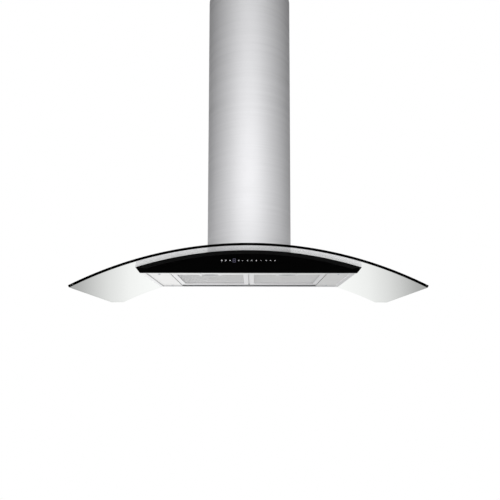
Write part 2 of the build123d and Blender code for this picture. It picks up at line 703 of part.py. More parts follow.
def make_filters():
    outer = flat_plan((FILTER_INNER_X, FILTER_OUTER_X), (FILTER_FRONT_Y, FILTER_REAR_Y))
    outer = fillet(outer.vertices(), FILTER_CORNER)
    clear_x = (FILTER_INNER_X + FRAME_WIDTH, FILTER_OUTER_X - FRAME_WIDTH)
    clear_y = (FILTER_FRONT_Y + FRAME_WIDTH, FILTER_REAR_Y - FRAME_REAR_WIDTH)
    window = flat_plan(clear_x, clear_y)
    frame = prism(outer - window, PANEL_Z, PANEL_Z + FILTER_THICK)
    boss = prism(boss_plan(0), PANEL_Z, PANEL_Z + FILTER_THICK)
    groove = flat_plan(
        (clear_x[0] - GROOVE, clear_x[1] + GROOVE), (clear_y[0] - GROOVE, clear_y[1] + GROOVE)
    )
    frame -= prism(groove, PANEL_Z + FRAME_LIP, PANEL_Z + FILTER_THICK - FRAME_LIP)
    frame += boss
    frame -= latch_pocket(FIT)

    mesh = along_x(pleated_section(clear_y), clear_x[0] - GROOVE + FIT, clear_x[1] + GROOVE - FIT)
    mesh -= prism(boss_plan(FIT), PANEL_Z - OVERCUT, PANEL_Z + FILTER_THICK + OVERCUT)

    ears = Part()
    for place in (-EAR_OFFSET, EAR_OFFSET):
        x = FILTER_X + place
        wide = (x - EAR_THICK / 2, x + EAR_THICK / 2)
        tall = (FILTER_PIN_Z - EAR_NECK_HALF, FILTER_PIN_Z + EAR_NECK_HALF)
        ear = block(wide, (FILTER_REAR_Y, FILTER_PIN_Y), tall)
        pin_line = Pos(x, FILTER_PIN_Y, FILTER_PIN_Z) * Rot(0, 90, 0)
        ear += pin_line * Cylinder(EAR_R, EAR_THICK)
        ears += ear + pin_line * Cylinder(FILTER_PIN_R, 2 * FILTER_PIN_HALF)

    latch = make_latch()
    for side, flip in (("right", False), ("left", True)):
        for name, shape in (("frame", frame), ("mesh", mesh), ("pins", ears), ("latch", latch)):
            placed = mirror(shape, about=Plane.YZ) if flip else shape
            save(f"filter_{name}_{side}", placed)


def pleated_section(clear_y):
    """Section in Y and Z of the folded mesh, flat where the frame grips it."""
    middle = PANEL_Z + FILTER_THICK / 2
    count = 2 * round((clear_y[1] - clear_y[0]) / PLEAT_PITCH) + 1
    step = (clear_y[1] - clear_y[0]) / (count - 1)
    swing = (PLEAT_HEIGHT - MESH_THICK) / 2
    line = [(clear_y[0] + i * step, middle + swing * (-1) ** i) for i in range(count)]
    line = [(clear_y[0] - GROOVE + FIT, line[0][1])] + line
    line += [(clear_y[1] + GROOVE - FIT, line[-1][1])]
    lower = [(y, z - MESH_THICK / 2) for y, z in line]
    upper = [(y, z + MESH_THICK / 2) for y, z in reversed(line)]
    return make_face(Polyline(*lower, *upper, close=True))


def make_latch():
    front = FILTER_FRONT_Y + LATCH_WALL + FIT
    rear = front + LATCH_LENGTH
    low = PANEL_Z + FIT
    slab_x = (FILTER_X - LATCH_HALF, FILTER_X + LATCH_HALF)
    latch = block(slab_x, (front, rear), (low, low + LATCH_THICK - FIT))
    rib_half = LATCH_HALF + LATCH_RIB
    rib_z = (low + LATCH_RIB_RISE, low + LATCH_RIB_RISE + BOLT_THICK)
    latch += block((FILTER_X - rib_half, FILTER_X + rib_half), (front, rear), rib_z)
    tip = BAY_FRONT_Y - BOLT_REACH
    latch += block((FILTER_X - BOLT_HALF, FILTER_X + BOLT_HALF), (tip, front + OVERCUT), bolt_z(0))
    dish = Pos((front + rear) / 2, low - FINGER_R + FINGER_DEPTH) * Circle(FINGER_R)
    return latch - along_x(dish, FILTER_X - FINGER_HALF, FILTER_X + FINGER_HALF)


def make_lamps():
    housings, lenses, boards = Part(), Part(), Part()
    top = PANEL_Z + SHEET
    roof = PANEL_Z + LAMP_HEIGHT - LAMP_WALL
    half, deep = LAMP_LENGTH / 2, LAMP_WIDTH / 2
    for x in LAMP_XS:
        plan = flat_plan((x - half, x + half), (LAMP_Y - deep, LAMP_Y + deep))
        plan = fillet(plan.vertices(), LAMP_CORNER)
        room = offset(plan, -LAMP_WALL)
        skirt = offset(plan, LAMP_FLANGE)
        can = prism(plan, PANEL_Z, PANEL_Z + LAMP_HEIGHT) + prism(skirt, top, top + SHEET)
        housings += can - prism(room, PANEL_Z - OVERCUT, roof)
        lenses += prism(room, PANEL_Z, PANEL_Z + LAMP_WALL)
        deck = roof - BOARD_THICK
        board = prism(offset(room, -LAMP_BOARD_GAP), deck, roof)
        led_y = (LAMP_Y - LED_HALF, LAMP_Y + LED_HALF)
        for place in LED_XS:
            led_x = (x + place - LED_HALF, x + place + LED_HALF)
            board += block(led_x, led_y, (deck - LED_HEIGHT, deck))
        boards += board
    save("lamp_housings", housings)
    save("lamp_lenses", lenses)
    save("lamp_boards", boards)


# Wall plate and blower box


def make_wall_plate():
    plate = block(
        (-WALL_PLATE_HALF, WALL_PLATE_HALF),
        (-PLATE, 0),
        (BODY_Z + REAR_BOX_LIFT, DECK_Z + WALL_PLATE_RISE),
    )
    plate = chamfer(plate.edges().filter_by(Axis.Y).group_by(Axis.Z)[-1], WALL_PLATE_CORNER)
    for x in (-WALL_HOLE_SPACING_X / 2, WALL_HOLE_SPACING_X / 2):
        for z in (-WALL_HOLE_SPACING_Z / 2, WALL_HOLE_SPACING_Z / 2):
            plate -= Pos(x, 0, z) * Rot(90, 0, 0) * Cylinder(WALL_HOLE_R, 4 * PLATE)
    save("wall_plate", plate)


def make_blower_box():
    box = cover(TOWER_HALF, -PLATE, TOWER_LIP, SHEET, BODY_Z, DECK_Z)
    box -= bend_cylinder(CASING_RADIUS)
    inner = TOWER_HALF - SHEET / 2
    ring = d_plan(inner, -PLATE - SHEET) - d_plan(inner - FOOT_WIDTH, 1)
    foot = bent(ring, CASING_RADIUS, CASING_RADIUS + CLAMP_THICK)
    deck = d_plan(TOWER_HALF, -PLATE) - Pos(0, COLLAR_Y) * Circle(DUCT_R)
    deck -= Pos(GLAND_X, GLAND_Y) * Circle(GLAND_THREAD_R)
    box += foot
    for place in foot_screw_places():
        box -= place * Cylinder(SCREW_R, 2 * FOOT_SHANK)
    save("blower_box", box)
    save("blower_deck", prism(deck, DECK_Z, DECK_Z + SHEET))
    screws = Part()
    for place in foot_screw_places():
        screws += place * screw(SCREW_HEAD_R, SCREW_HEAD, SCREW_R, FOOT_SHANK)
    save("foot_screws", screws)


# Scroll housing


def spiral_point(turn, grow):
    """Point of the scroll's spiral in Y and Z, turn degrees on from the outlet's front wall."""
    inner = SCROLL_MAX_R * exp(log(SCROLL_MIN_R / SCROLL_MAX_R) * turn / SCROLL_TURN)
    angle = radians(180 + turn)
    return (BLOWER_Y + (inner + grow) * cos(angle), BLOWER_Z + (inner + grow) * sin(angle))


def scroll_section(grow):
    """Scroll outline in Y and Z with its outlet duct, grown outwards by grow."""
    step = SCROLL_TURN / SCROLL_ARCS
    spiral = Curve()
    for i in range(SCROLL_ARCS):
        places = (i * step, (i + 0.5) * step, (i + 1) * step)
        spiral += ThreePointArc(*(spiral_point(turn, grow) for turn in places))
    chord = Line(spiral_point(SCROLL_TURN, grow), spiral_point(0, grow))
    duct = flat_plan(
        (BLOWER_Y - SCROLL_MAX_R - grow, OUTLET_REAR_Y + grow), (BLOWER_Z, SCROLL_OUTLET_Z)
    )
    wheel_room = Pos(BLOWER_Y, BLOWER_Z) * Circle(WHEEL_R + WHEEL_ROOM + grow)
    return make_face(spiral + chord) + duct + wheel_room


def bell_section():
    """Half section of an inlet bell about the shaft line, in X and radius."""
    length = 2 * INLET_FLARE
    bend = (length**2 + INLET_FLARE**2) / (2 * INLET_FLARE)
    turn = degrees(asin(length / bend))
    centre = (SCROLL_HALF - INLET_FLARE, INLET_R + bend)
    inner = CenterArc(centre, bend, -90, turn)
    outer = CenterArc(centre, bend - INLET_WALL, -90, turn)
    ends = Line(inner @ 0, outer @ 0) + Line(inner @ 1, outer @ 1)
    return make_face(inner + outer + ends)


def shaft_line(x=0.0):
    """Place on the blower's shaft line at X, with its Z axis along +X."""
    return Pos(x, BLOWER_Y, BLOWER_Z) * Rot(0, 90, 0)


def outlet_flange_plan():
    """Plan of the flange round the scroll's outlet, kept inside the blower box."""
    wide = SCROLL_WALL + SCROLL_RIM
    reach_x = SCROLL_HALF - SCROLL_WALL + wide
    reach_y = (BLOWER_Y - SCROLL_MAX_R - wide, OUTLET_REAR_Y + wide)
    room = d_plan(TOWER_HALF - SHEET - FIT, -PLATE)
    return flat_plan((-reach_x, reach_x), reach_y) & room


def outlet_plan():
    """Plan of the scroll's outlet, inside its walls."""
    half = SCROLL_HALF - SCROLL_WALL
    return flat_plan((-half, half), (BLOWER_Y - SCROLL_MAX_R, OUTLET_REAR_Y))


def scroll_half():
    """The right half of the scroll: wall, side with its inlet bell, rim and outlet flange."""
    section = scroll_section(SCROLL_WALL)
    rim = scroll_section(SCROLL_WALL + SCROLL_RIM) - scroll_section(0)
    above = flat_plan((-CHIMNEY_DEPTH, 0), (SCROLL_OUTLET_Z, SCROLL_OUTLET_Z + CHIMNEY_DEPTH))
    half = along_x(section - scroll_section(0), 0, SCROLL_HALF)
    half += along_x(section, SCROLL_HALF - SCROLL_WALL, SCROLL_HALF)
    half += along_x(rim - above, 0, SCROLL_WALL)
    right = flat_plan((0, TOWER_HALF), (-CHIMNEY_DEPTH, 0))
    flange = (outlet_flange_plan() - outlet_plan()) & right
    half += prism(flange, SCROLL_OUTLET_Z - SCROLL_WALL, SCROLL_OUTLET_Z)
    half -= shaft_line(SCROLL_HALF) * Cylinder(INLET_R + INLET_WALL, 4 * SCROLL_WALL)
    return half + Pos(0, BLOWER_Y, BLOWER_Z) * revolve(bell_section(), Axis.X)


def make_scroll():
    half = scroll_half()
    save("scroll_left", mirror(half, about=Plane.YZ))
    for i in range(ARM_COUNT):
        half -= arm_place(i, SCROLL_HALF) * Cylinder(SCREW_R, 4 * SCROLL_WALL)
    save("scroll_right", half)


def arm_place(index, x):
    """Place of one motor arm's bolt at X, with its Z axis along +X."""
    turn = 90 + 360 / ARM_COUNT * index
    return shaft_line(x) * Rot(0, 0, turn) * Pos(ARM_BOLT_R, 0, 0)


def make_adapter():
    def passage(grow):
        mouth = offset(outlet_plan(), grow, kind=Kind.INTERSECTION) if grow else outlet_plan()
        low = Pos(0, 0, SCROLL_OUTLET_Z) * mouth
        high = Pos(0, COLLAR_Y, DECK_Z) * Circle(DUCT_R + grow)
        return loft([low.face(), high.face()])

    crown = Pos(0, COLLAR_Y) * Circle(COLLAR_R + COLLAR_BRIM)
    adapter = passage(SCROLL_WALL)
    adapter += prism(outlet_flange_plan(), SCROLL_OUTLET_Z, SCROLL_OUTLET_Z + SCROLL_WALL)
    adapter += prism(crown, DECK_Z - SCROLL_WALL, DECK_Z)
    save("outlet_adapter", adapter - passage(0))


# Impeller and motor


def blade_face(turn):
    """One forward-curved blade's section, seen along the shaft."""
    sweep = radians(BLADE_SWEEP)

    def at(radius, angle):
        return (radius * cos(turn + angle), radius * sin(turn + angle))

    middle = (WHEEL_R + WHEEL_INNER_R) / 2
    lag = BLADE_BOW / middle
    thick = BLADE_THICK / middle
    heel, tip = at(WHEEL_INNER_R, 0), at(WHEEL_R, sweep)
    belly = at(middle, sweep / 2 - lag)
    heel_far, tip_far = at(WHEEL_INNER_R, thick), at(WHEEL_R, sweep + thick)
    belly_far = at(middle, sweep / 2 - lag + thick)
    front = ThreePointArc(heel, belly, tip)
    rear = ThreePointArc(tip_far, belly_far, heel_far)
    return make_face(front + Line(tip, tip_far) + rear + Line(heel_far, heel))


def make_impeller():
    blades = Sketch()
    for i in range(BLADE_COUNT):
        blades += blade_face(radians(360 / BLADE_COUNT * i))
    row = extrude(blades, WHEEL_HALF - WHEEL_RING / 2)
    ring = Circle(WHEEL_R) - Circle(WHEEL_INNER_R - FIT)
    disc = Cylinder(WHEEL_R, WHEEL_DISC)
    wheel = disc + row + mirror(row, about=Plane.XY)
    edge = Pos(0, 0, WHEEL_HALF - WHEEL_RING) * extrude(ring, WHEEL_RING)
    wheel += edge + mirror(edge, about=Plane.XY)
    wheel += Pos(0, 0, -HUB_LENGTH / 2) * Cylinder(HUB_R, HUB_LENGTH)
    wheel -= Cylinder(SHAFT_R, 4 * HUB_LENGTH)
    save("impeller", shaft_line() * wheel)
    length = 2 * (HUB_LENGTH + SHAFT_END + MOTOR_START_X)
    shaft = Pos(0, 0, MOTOR_START_X) * Cylinder(SHAFT_R, length)
    save("motor_shaft", shaft_line() * chamfer(shaft.edges(), SHAFT_CHAMFER))
    washer = Cylinder(SHAFT_R + CLIP_WIDTH, CLIP_THICK) - Cylinder(SHAFT_R, 2 * CLIP_THICK)
    washer -= Pos(SHAFT_R + CLIP_WIDTH / 2, 0) * Box(2 * CLIP_WIDTH, CLIP_GAP, 2 * CLIP_THICK)
    save("shaft_clip", shaft_line(-HUB_LENGTH - CLIP_THICK / 2) * washer)


def make_motor():
    start = MOTOR_START_X
    seat = SCROLL_HALF + INLET_FLARE
    nose, neck, shoulder, drum = (start + step for step in MOTOR_FRONT_STEPS)
    drum_end, tail = (seat - step for step in MOTOR_REAR_STEPS)
    profile = [
        (0, start),
        (HUB_R, start),
        (HUB_R, nose),
        (MOTOR_NECK_R, neck),
        (MOTOR_NECK_R, shoulder),
        (MOTOR_R, drum),
        (MOTOR_R, drum_end),
        (MOTOR_TAIL_R, tail),
        (MOTOR_TAIL_R, seat),
        (0, seat),
    ]
    can = revolve(Plane.XZ * make_face(Polyline(*profile, close=True)), Axis.Z)
    depth = HUB_LENGTH + SHAFT_END + 2 * start
    can -= Pos(0, 0, start) * Cylinder(SHAFT_R + SHAFT_FIT, 2 * depth)
    save("motor", shaft_line() * can)

    plate = Circle(MOTOR_R)
    for i in range(ARM_COUNT):
        turn = 90 + 360 / ARM_COUNT * i
        plate += Rot(0, 0, turn) * (Pos(ARM_BOLT_R / 2, 0) * Rectangle(ARM_BOLT_R, ARM_WIDTH))
        plate += Rot(0, 0, turn) * (Pos(ARM_BOLT_R, 0) * Circle(ARM_WIDTH / 2))
        plate -= Rot(0, 0, turn) * (Pos(ARM_BOLT_R, 0) * Circle(SCREW_R))
    save("motor_bracket", shaft_line(seat) * extrude(plate, PLATE))

    grommets, bolts = Part(), Part()
    for i in range(ARM_COUNT):
        waist = Cylinder(GROMMET_R, GROMMET_WAIST) - Cylinder(GROMMET_R - GROMMET_GROOVE, GROMMET_WAIST)
        grommet = Cylinder(GROMMET_R, INLET_FLARE) - waist - Cylinder(SCREW_R, 2 * INLET_FLARE)
        grommets += arm_place(i, SCROLL_HALF + INLET_FLARE / 2) * grommet
        bolt = screw(SCREW_HEAD_R, SCREW_HEAD, SCREW_R, PLATE + INLET_FLARE + SCROLL_WALL)
        bolts += arm_place(i, seat + PLATE) * bolt
    save("motor_grommets", grommets)
    save("motor_bolts", bolts)


# Outlet collar and damper


def make_collar():
    base = DECK_Z + SHEET
    inner = DUCT_R
    tube = prism(Circle(COLLAR_R) - Circle(inner), base, base + COLLAR_FLANGE + COLLAR_HEIGHT)
    flange = prism(Circle(COLLAR_R + COLLAR_BRIM) - Circle(inner), base, base + COLLAR_FLANGE)
    bond = inner + COLLAR_BOND
    stop = prism(Circle(bond) - Circle(inner - STOP_WIDTH), STOP_Z, STOP_Z + STOP_THICK)
    collar = tube + flange + stop
    pin_z = flap_pin_z()
    for side in (-1, 1):
        edge = sorted((side * (inner - PIN_BOSS_DEPTH), side * bond))
        collar += block((-PIN_BOSS_HALF, PIN_BOSS_HALF), edge, (STOP_Z, pin_z + PIN_BOSS_HALF))
    pin = Pos(0, 0, pin_z) * Rot(90, 0, 0) * Cylinder(FLAP_PIN_R, 2 * (inner - COLLAR_BOND))
    save("outlet_collar", Pos(0, COLLAR_Y, 0) * (collar - pin))
    save("damper_pin", Pos(0, COLLAR_Y, 0) * pin)


def flap_pin_z():
    return STOP_Z + STOP_THICK + FIT + FLAP_THICK + FLAP_GAP


def make_flaps():
    inner = DUCT_R
    low = STOP_Z + STOP_THICK + FIT
    plan = Circle(inner - FLAP_GAP) & flat_plan((KNUCKLE_R + FLAP_GAP, inner), (-inner, inner))
    for side in (-1, 1):
        edge = sorted((side * (inner - PIN_BOSS_DEPTH - FLAP_GAP), side * inner))
        plan -= flat_plan((0, sqrt(2) * PIN_BOSS_HALF + FLAP_GAP), edge)
    leaf = prism(plan, low, low + FLAP_THICK)
    for side, starts in (("right", KNUCKLE_STARTS[1::2]), ("left", KNUCKLE_STARTS[0::2])):
        flap = leaf
        for start in starts:
            reach = (start, start + KNUCKLE_LENGTH)
            flap += block((0, KNUCKLE_R + 2 * FLAP_GAP), reach, (low, low + FLAP_THICK))
            tube = Pos(0, start + KNUCKLE_LENGTH / 2, flap_pin_z()) * Rot(90, 0, 0)
            flap += tube * Cylinder(KNUCKLE_R, KNUCKLE_LENGTH)
        flap -= Pos(0, 0, flap_pin_z()) * Rot(90, 0, 0) * Cylinder(FLAP_PIN_R + PIN_FIT, 2 * inner)
        if side == "left":
            flap = mirror(flap, about=Plane.YZ)
        save(f"damper_flap_{side}", Pos(0, COLLAR_Y, 0) * flap)


# Electrical pieces


def make_electronics():
    low = PANEL_Z + SHEET
    top = low + BOX_HEIGHT
    tray = block(BOX_X, BOX_Y, (low, top))
    room_x = (BOX_X[0] + BOX_WALL, BOX_X[1] - BOX_WALL)
    room_y = (BOX_Y[0] + BOX_WALL, BOX_Y[1] - BOX_WALL)
    tray -= block(room_x, room_y, (low + BOX_WALL, top + OVERCUT))
    boss_x = (room_x[0] + BOX_BOSS_START, room_x[0] + BOX_BOSS_START + BOX_BOSS)
    for y in (BOX_Y[0] + BOX_BOSS_INSET, BOX_Y[1] - BOX_BOSS_INSET):
        boss_y = (y - BOX_BOSS / 2, y + BOX_BOSS / 2)
        tray += block(boss_x, boss_y, (low + BOX_WALL / 2, low + BOARD_RISE))
    save("electronics_box", tray)
    make_lid(room_x, room_y, top)
    board_x = (room_x[0] + SLACK, room_x[1] - SLACK)
    board_y = (room_y[0] + BOARD_MARGIN, room_y[1] - BOARD_MARGIN)
    make_control_board(board_x, board_y, low + BOARD_RISE)


def make_lid(room_x, room_y, top):
    """Flat lid on the tray, with a shallow rim that plugs into it."""
    lid = block(BOX_X, BOX_Y, (top, top + SHEET))
    rim_x = (room_x[0] + FIT, room_x[1] - FIT)
    rim_y = (room_y[0] + FIT, room_y[1] - FIT)
    lid += block(rim_x, rim_y, (top - LID_PLUG, top))
    inner_x = (room_x[0] + LID_PLUG, room_x[1] - LID_PLUG)
    inner_y = (room_y[0] + LID_PLUG, room_y[1] - LID_PLUG)
    save("electronics_lid", lid - block(inner_x, inner_y, (top - LID_PLUG - OVERCUT, top)))


def make_control_board(board_x, board_y, low):
    """Board with a row of relays and a power supply."""
    deck = low + BOARD_THICK
    board = block(board_x, board_y, (low, deck))
    left = (board_x[0] + board_x[1] - SUPPLY_SIZE[0]) / 2
    for i in range(RELAY_COUNT):
        y = board_y[0] + RELAY_START + RELAY_PITCH * i
        relay_x = (left, left + RELAY_SIZE[0])
        board += block(relay_x, (y, y + RELAY_SIZE[1]), (deck, deck + RELAY_SIZE[2]))
    rear = board_y[1] - SUPPLY_MARGIN
    supply_y = (rear - SUPPLY_SIZE[1], rear)
    board += block((left, left + SUPPLY_SIZE[0]), supply_y, (deck, deck + SUPPLY_SIZE[2]))
    save("control_board", board)


def make_capacitor():
    """Motor capacitor and the band that holds it off the wall plate."""
    wall = CAPACITOR_R + CAPACITOR_STANDOFF
    place = Pos(CAPACITOR_X, -PLATE - wall, 0)
    can = chamfer(Cylinder(CAPACITOR_R, CAPACITOR_LENGTH).edges(), CAPACITOR_CHAMFER)
    tag = Box(CAPACITOR_TAG, SHEET, CAPACITOR_TAG)
    can += Pos(0, 0, (CAPACITOR_LENGTH + CAPACITOR_TAG) / 2) * tag
    save("capacitor", place * can)
    band = Cylinder(CAPACITOR_R + BAND_THICK, BAND_WIDTH) - Cylinder(CAPACITOR_R, 2 * BAND_WIDTH)
    band -= Pos(0, -CAPACITOR_R, 0) * Box(CAPACITOR_R, CAPACITOR_R, 2 * BAND_WIDTH)
    level = (-BAND_WIDTH / 2, BAND_WIDTH / 2)
    stem = block((-BAND_STEM / 2, BAND_STEM / 2), (CAPACITOR_R, wall - PLATE / 2), level)
    stem -= Cylinder(CAPACITOR_R + BAND_THICK / 2, 2 * BAND_WIDTH)
    foot = block((-BAND_FOOT / 2, BAND_FOOT / 2), (wall - PLATE, wall), level)
    save("capacitor_clip", place * (band + stem + foot))


def make_terminal():
    front = -PLATE - TERMINAL_DEPTH
    body = block(TERMINAL_X, (front, -PLATE), TERMINAL_Z)
    pitch = (TERMINAL_X[1] - TERMINAL_X[0]) / TERMINAL_WAYS
    way_z = (TERMINAL_Z[0] + TERMINAL_LIP, TERMINAL_Z[1] - TERMINAL_LIP)
    for i in range(TERMINAL_WAYS):
        left = TERMINAL_X[0] + pitch * i
        way_x = (left + TERMINAL_WALL, left + pitch - TERMINAL_WALL)
        body -= block(way_x, (front - OVERCUT, -PLATE - TERMINAL_FLOOR), way_z)
    save("terminal_block", body)


def make_gland():
    deck = DECK_Z + SHEET
    hexagon = prism(RegularPolygon(GLAND_NUT_R, 6), deck, deck + GLAND_HEX)
    cone = Cone(GLAND_R, GLAND_TOP_R, GLAND_DOME)
    dome = Pos(0, 0, deck + GLAND_HEX + GLAND_DOME / 2) * cone
    thread = prism(Circle(GLAND_THREAD_R), DECK_Z - GLAND_THREAD, deck)
    nut = prism(RegularPolygon(GLAND_NUT_R, 6), DECK_Z - GLAND_NUT, DECK_Z)
    cable = Pos(0, 0, DECK_Z) * Cylinder(CABLE_R, 4 * (GLAND_THREAD + GLAND_HEX + GLAND_DOME))
    save("cable_gland", Pos(GLAND_X, GLAND_Y, 0) * (hexagon + dome + thread + nut - cable))


# Chimney


def make_chimney():
    lower = cover(CHIMNEY_HALF, 0, CHIMNEY_LIP, SHEET, BODY_Z, LOWER_COVER_TOP_Z)
    lower -= bend_cylinder(GLASS_RADIUS + FIT)
    save("lower_cover", lower)
    inner = CHIMNEY_HALF - SHEET
    half = inner - COVER_GAP
    back = -SHEET - COVER_GAP
    top = LOWER_COVER_TOP_Z + UPPER_COVER_SHOWN
    upper = cover(half, back, CHIMNEY_LIP, SHEET, top - UPPER_COVER_LENGTH, top)
    level = top - CEILING_BRACKET_DROP - CEILING_BRACKET_HEIGHT / 2
    screw_y = CEILING_SCREW_INSET - CEILING_BRACKET_REACH
    screw_hole = Rot(0, 90, 0) * Cylinder(SCREW_R, 2 * CEILING_SCREW_SHANK)
    for side in (-1, 1):
        upper -= Pos(side * half, screw_y, level) * screw_hole
    save("upper_cover", upper)

    guides = Part()
    for y in GUIDE_YS:
        strip = block(
            (inner - COVER_GAP + FIT, inner),
            (y - GUIDE_WIDTH / 2, y + GUIDE_WIDTH / 2),
            (LOWER_COVER_TOP_Z - GUIDE_HEIGHT, LOWER_COVER_TOP_Z),
        )
        guides += both_sides(strip)
    save("guide_strips", guides)

    tall = (level - CEILING_BRACKET_HEIGHT / 2, level + CEILING_BRACKET_HEIGHT / 2)
    arm_x = half - SHEET
    step_x = CEILING_HOLE_SPACING / 2 + CEILING_BRACKET_STEP
    step_y = back - SHEET - FIT
    arm = block((0, step_x), (-PLATE, 0), tall)
    arm += block((step_x - PLATE, step_x), (step_y - PLATE, 0), tall)
    arm += block((step_x - PLATE, arm_x), (step_y - PLATE, step_y), tall)
    arm += block((arm_x - PLATE, arm_x), (-CEILING_BRACKET_REACH, step_y), tall)
    hole = Rot(90, 0, 0) * Cylinder(CEILING_HOLE_R, 4 * PLATE)
    arm -= Pos(CEILING_HOLE_SPACING / 2, 0, level) * hole
    arm -= Pos(arm_x, screw_y, level) * screw_hole
    save("ceiling_bracket", both_sides(arm))
    seat = Pos(half, screw_y, level) * Rot(0, 90, 0)
    fixing = screw(CEILING_SCREW_HEAD_R, CEILING_SCREW_HEAD, SCREW_R, CEILING_SCREW_SHANK)
    save("ceiling_screws", both_sides(seat * fixing))


def make_cover_brackets():
    inner = CHIMNEY_HALF - SHEET
    brackets = Part()
    low, high = COVER_BRACKET_Z
    for y in COVER_BRACKET_YS:
        reach = (y - COVER_BRACKET_HALF, y + COVER_BRACKET_HALF)
        shape = block((TOWER_HALF, TOWER_HALF + SHEET), reach, (low, high))
        shape += block((TOWER_HALF, inner), reach, (high, high + SHEET))
        shape += block((inner - SHEET, inner), reach, (low, high + SHEET))
        brackets += both_sides(shape)
    save("cover_brackets", brackets)


make_canopy()
make_gasket()
make_clamps()
make_casing()
make_posts()
make_fascia()
make_touch_board()
make_panel()
make_rail()
make_ledge()
make_filters()
make_lamps()
make_wall_plate()
make_blower_box()
make_scroll()
make_adapter()
make_impeller()
make_motor()
make_collar()
make_flaps()
make_electronics()
make_capacitor()
make_terminal()
make_gland()
make_chimney()
make_cover_brackets()
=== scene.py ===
"""Looks of a wall-hung range hood: its finishes, its modelled pieces, the studio and the camera."""

import itertools
import json
import logging
import math
from collections.abc import Callable, Iterator
from contextlib import contextmanager
from dataclasses import dataclass
from enum import Enum

import bmesh
import bpy
from bpy.types import ColorRamp, Material, MeshPolygon, Node, NodeSocket, NodeTree, Object
from mathutils import Matrix, Vector


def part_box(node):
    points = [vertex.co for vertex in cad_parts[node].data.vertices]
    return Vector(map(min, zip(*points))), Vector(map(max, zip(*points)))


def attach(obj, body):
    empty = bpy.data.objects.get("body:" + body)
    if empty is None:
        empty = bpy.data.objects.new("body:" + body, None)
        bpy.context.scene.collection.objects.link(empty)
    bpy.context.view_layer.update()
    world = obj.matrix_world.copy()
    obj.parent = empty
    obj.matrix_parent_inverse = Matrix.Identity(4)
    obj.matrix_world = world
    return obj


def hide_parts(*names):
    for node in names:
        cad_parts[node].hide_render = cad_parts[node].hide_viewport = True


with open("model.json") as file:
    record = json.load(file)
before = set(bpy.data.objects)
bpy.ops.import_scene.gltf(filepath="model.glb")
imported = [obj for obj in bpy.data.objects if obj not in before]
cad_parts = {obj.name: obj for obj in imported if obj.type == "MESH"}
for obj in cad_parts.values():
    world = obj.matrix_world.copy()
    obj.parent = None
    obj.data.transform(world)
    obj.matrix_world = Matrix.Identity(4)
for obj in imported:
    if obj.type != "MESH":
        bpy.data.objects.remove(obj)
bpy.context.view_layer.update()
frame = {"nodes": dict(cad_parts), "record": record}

LOG = logging.getLogger("range_hood")
MM = 0.001
# A point or a direction, and pairs of a place along a range and a value there
Place = Vector | tuple[float, float, float]
Stops = tuple[tuple[float, float], ...]

# Sizes shared by several pieces, the same as in the CAD part: BEND_Z is the level of the bend's axis,
# and ROUND_Y is the middle of the chimney's round front
GLASS_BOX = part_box("glass_canopy")
GLASS_THICK = 6 * MM
BEND_RADIUS = 994 * MM
BEND_Z = GLASS_BOX[1].z - BEND_RADIUS
COVER_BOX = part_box("lower_cover")
ROUND_Y = COVER_BOX[0].y + COVER_BOX[1].x

# Slack where places are compared, the rise past which an edge counts as upright, and the part of a
# normal past which a face counts as facing that way
NEAR = 0.01 * MM
UPRIGHT = 10 * MM
FACING = 0.5
# Edges that turn by less than this are shaded smooth
SMOOTH_ANGLE = math.radians(32)

# Share of each finer layer in a noise, the middle part of a noise's range, and how glass bends light
LAYER_SHARE = 0.6
NOISE_MIDDLE = (0.3, 0.7)
GLASS_IOR = 1.5


def linear(colour: str) -> tuple[float, float, float, float]:
    """Turn an sRGB hex colour into Blender's linear one, by the curve that sRGB lays down.

    Args:
        colour: six hex digits.

    Returns:
        Red, green and blue, and an alpha of 1.
    """
    parts = [int(colour[i:i + 2], 16) / 255 for i in (0, 2, 4)]
    red, green, blue = (p / 12.92 if p <= 0.04045 else ((p + 0.055) / 1.055) ** 2.4 for p in parts)
    return (red, green, blue, 1.0)


def add_node(
    tree: NodeTree, kind: str, inputs: dict[str | int, object] | None = None, **settings: object
) -> Node:
    """Add one shader node with its settings and links.

    Args:
        tree: node tree that takes the node.
        kind: the node's type.
        inputs: a value, or an output socket to link, for each input by name or number.
        **settings: the node's own properties, and a ramp's stops.

    Returns:
        The new node.
    """
    node = tree.nodes.new(kind)
    for key, value in settings.items():
        if key == "stops":
            set_stops(node.color_ramp, value)
        else:
            setattr(node, key, value)
    for key, value in (inputs or {}).items():
        if isinstance(value, NodeSocket):
            tree.links.new(value, node.inputs[key])
        else:
            node.inputs[key].default_value = value
    return node


def set_stops(ramp: ColorRamp, stops: Stops) -> None:
    """Give a ramp its greys.

    Args:
        ramp: the ramp.
        stops: pairs of a place from 0 to 1 and a grey.
    """
    elements = ramp.elements
    while len(elements) > 1:
        elements.remove(elements[-1])
    for i, (place, grey) in enumerate(stops):
        element = elements[0] if i == 0 else elements.new(place)
        element.position = place
        element.color = (grey, grey, grey, 1)


def from_noise(value: NodeSocket, low: float, high: float) -> dict[str, object]:
    """Give a Map Range node's inputs that map the middle of a noise onto a range.

    Args:
        value: the noise.
        low: result where the noise is low.
        high: result where the noise is high.

    Returns:
        The inputs by name.
    """
    start, end = NOISE_MIDDLE
    return {"Value": value, "From Min": start, "From Max": end, "To Min": low, "To Max": high}


class Grain(Enum):
    """Way that brush lines run on a sheet, with 1 for each axis that they follow."""

    ALONG_X = (1, 0, 0)
    ALONG_Y = (0, 1, 0)
    LEVEL = (1, 1, 0)


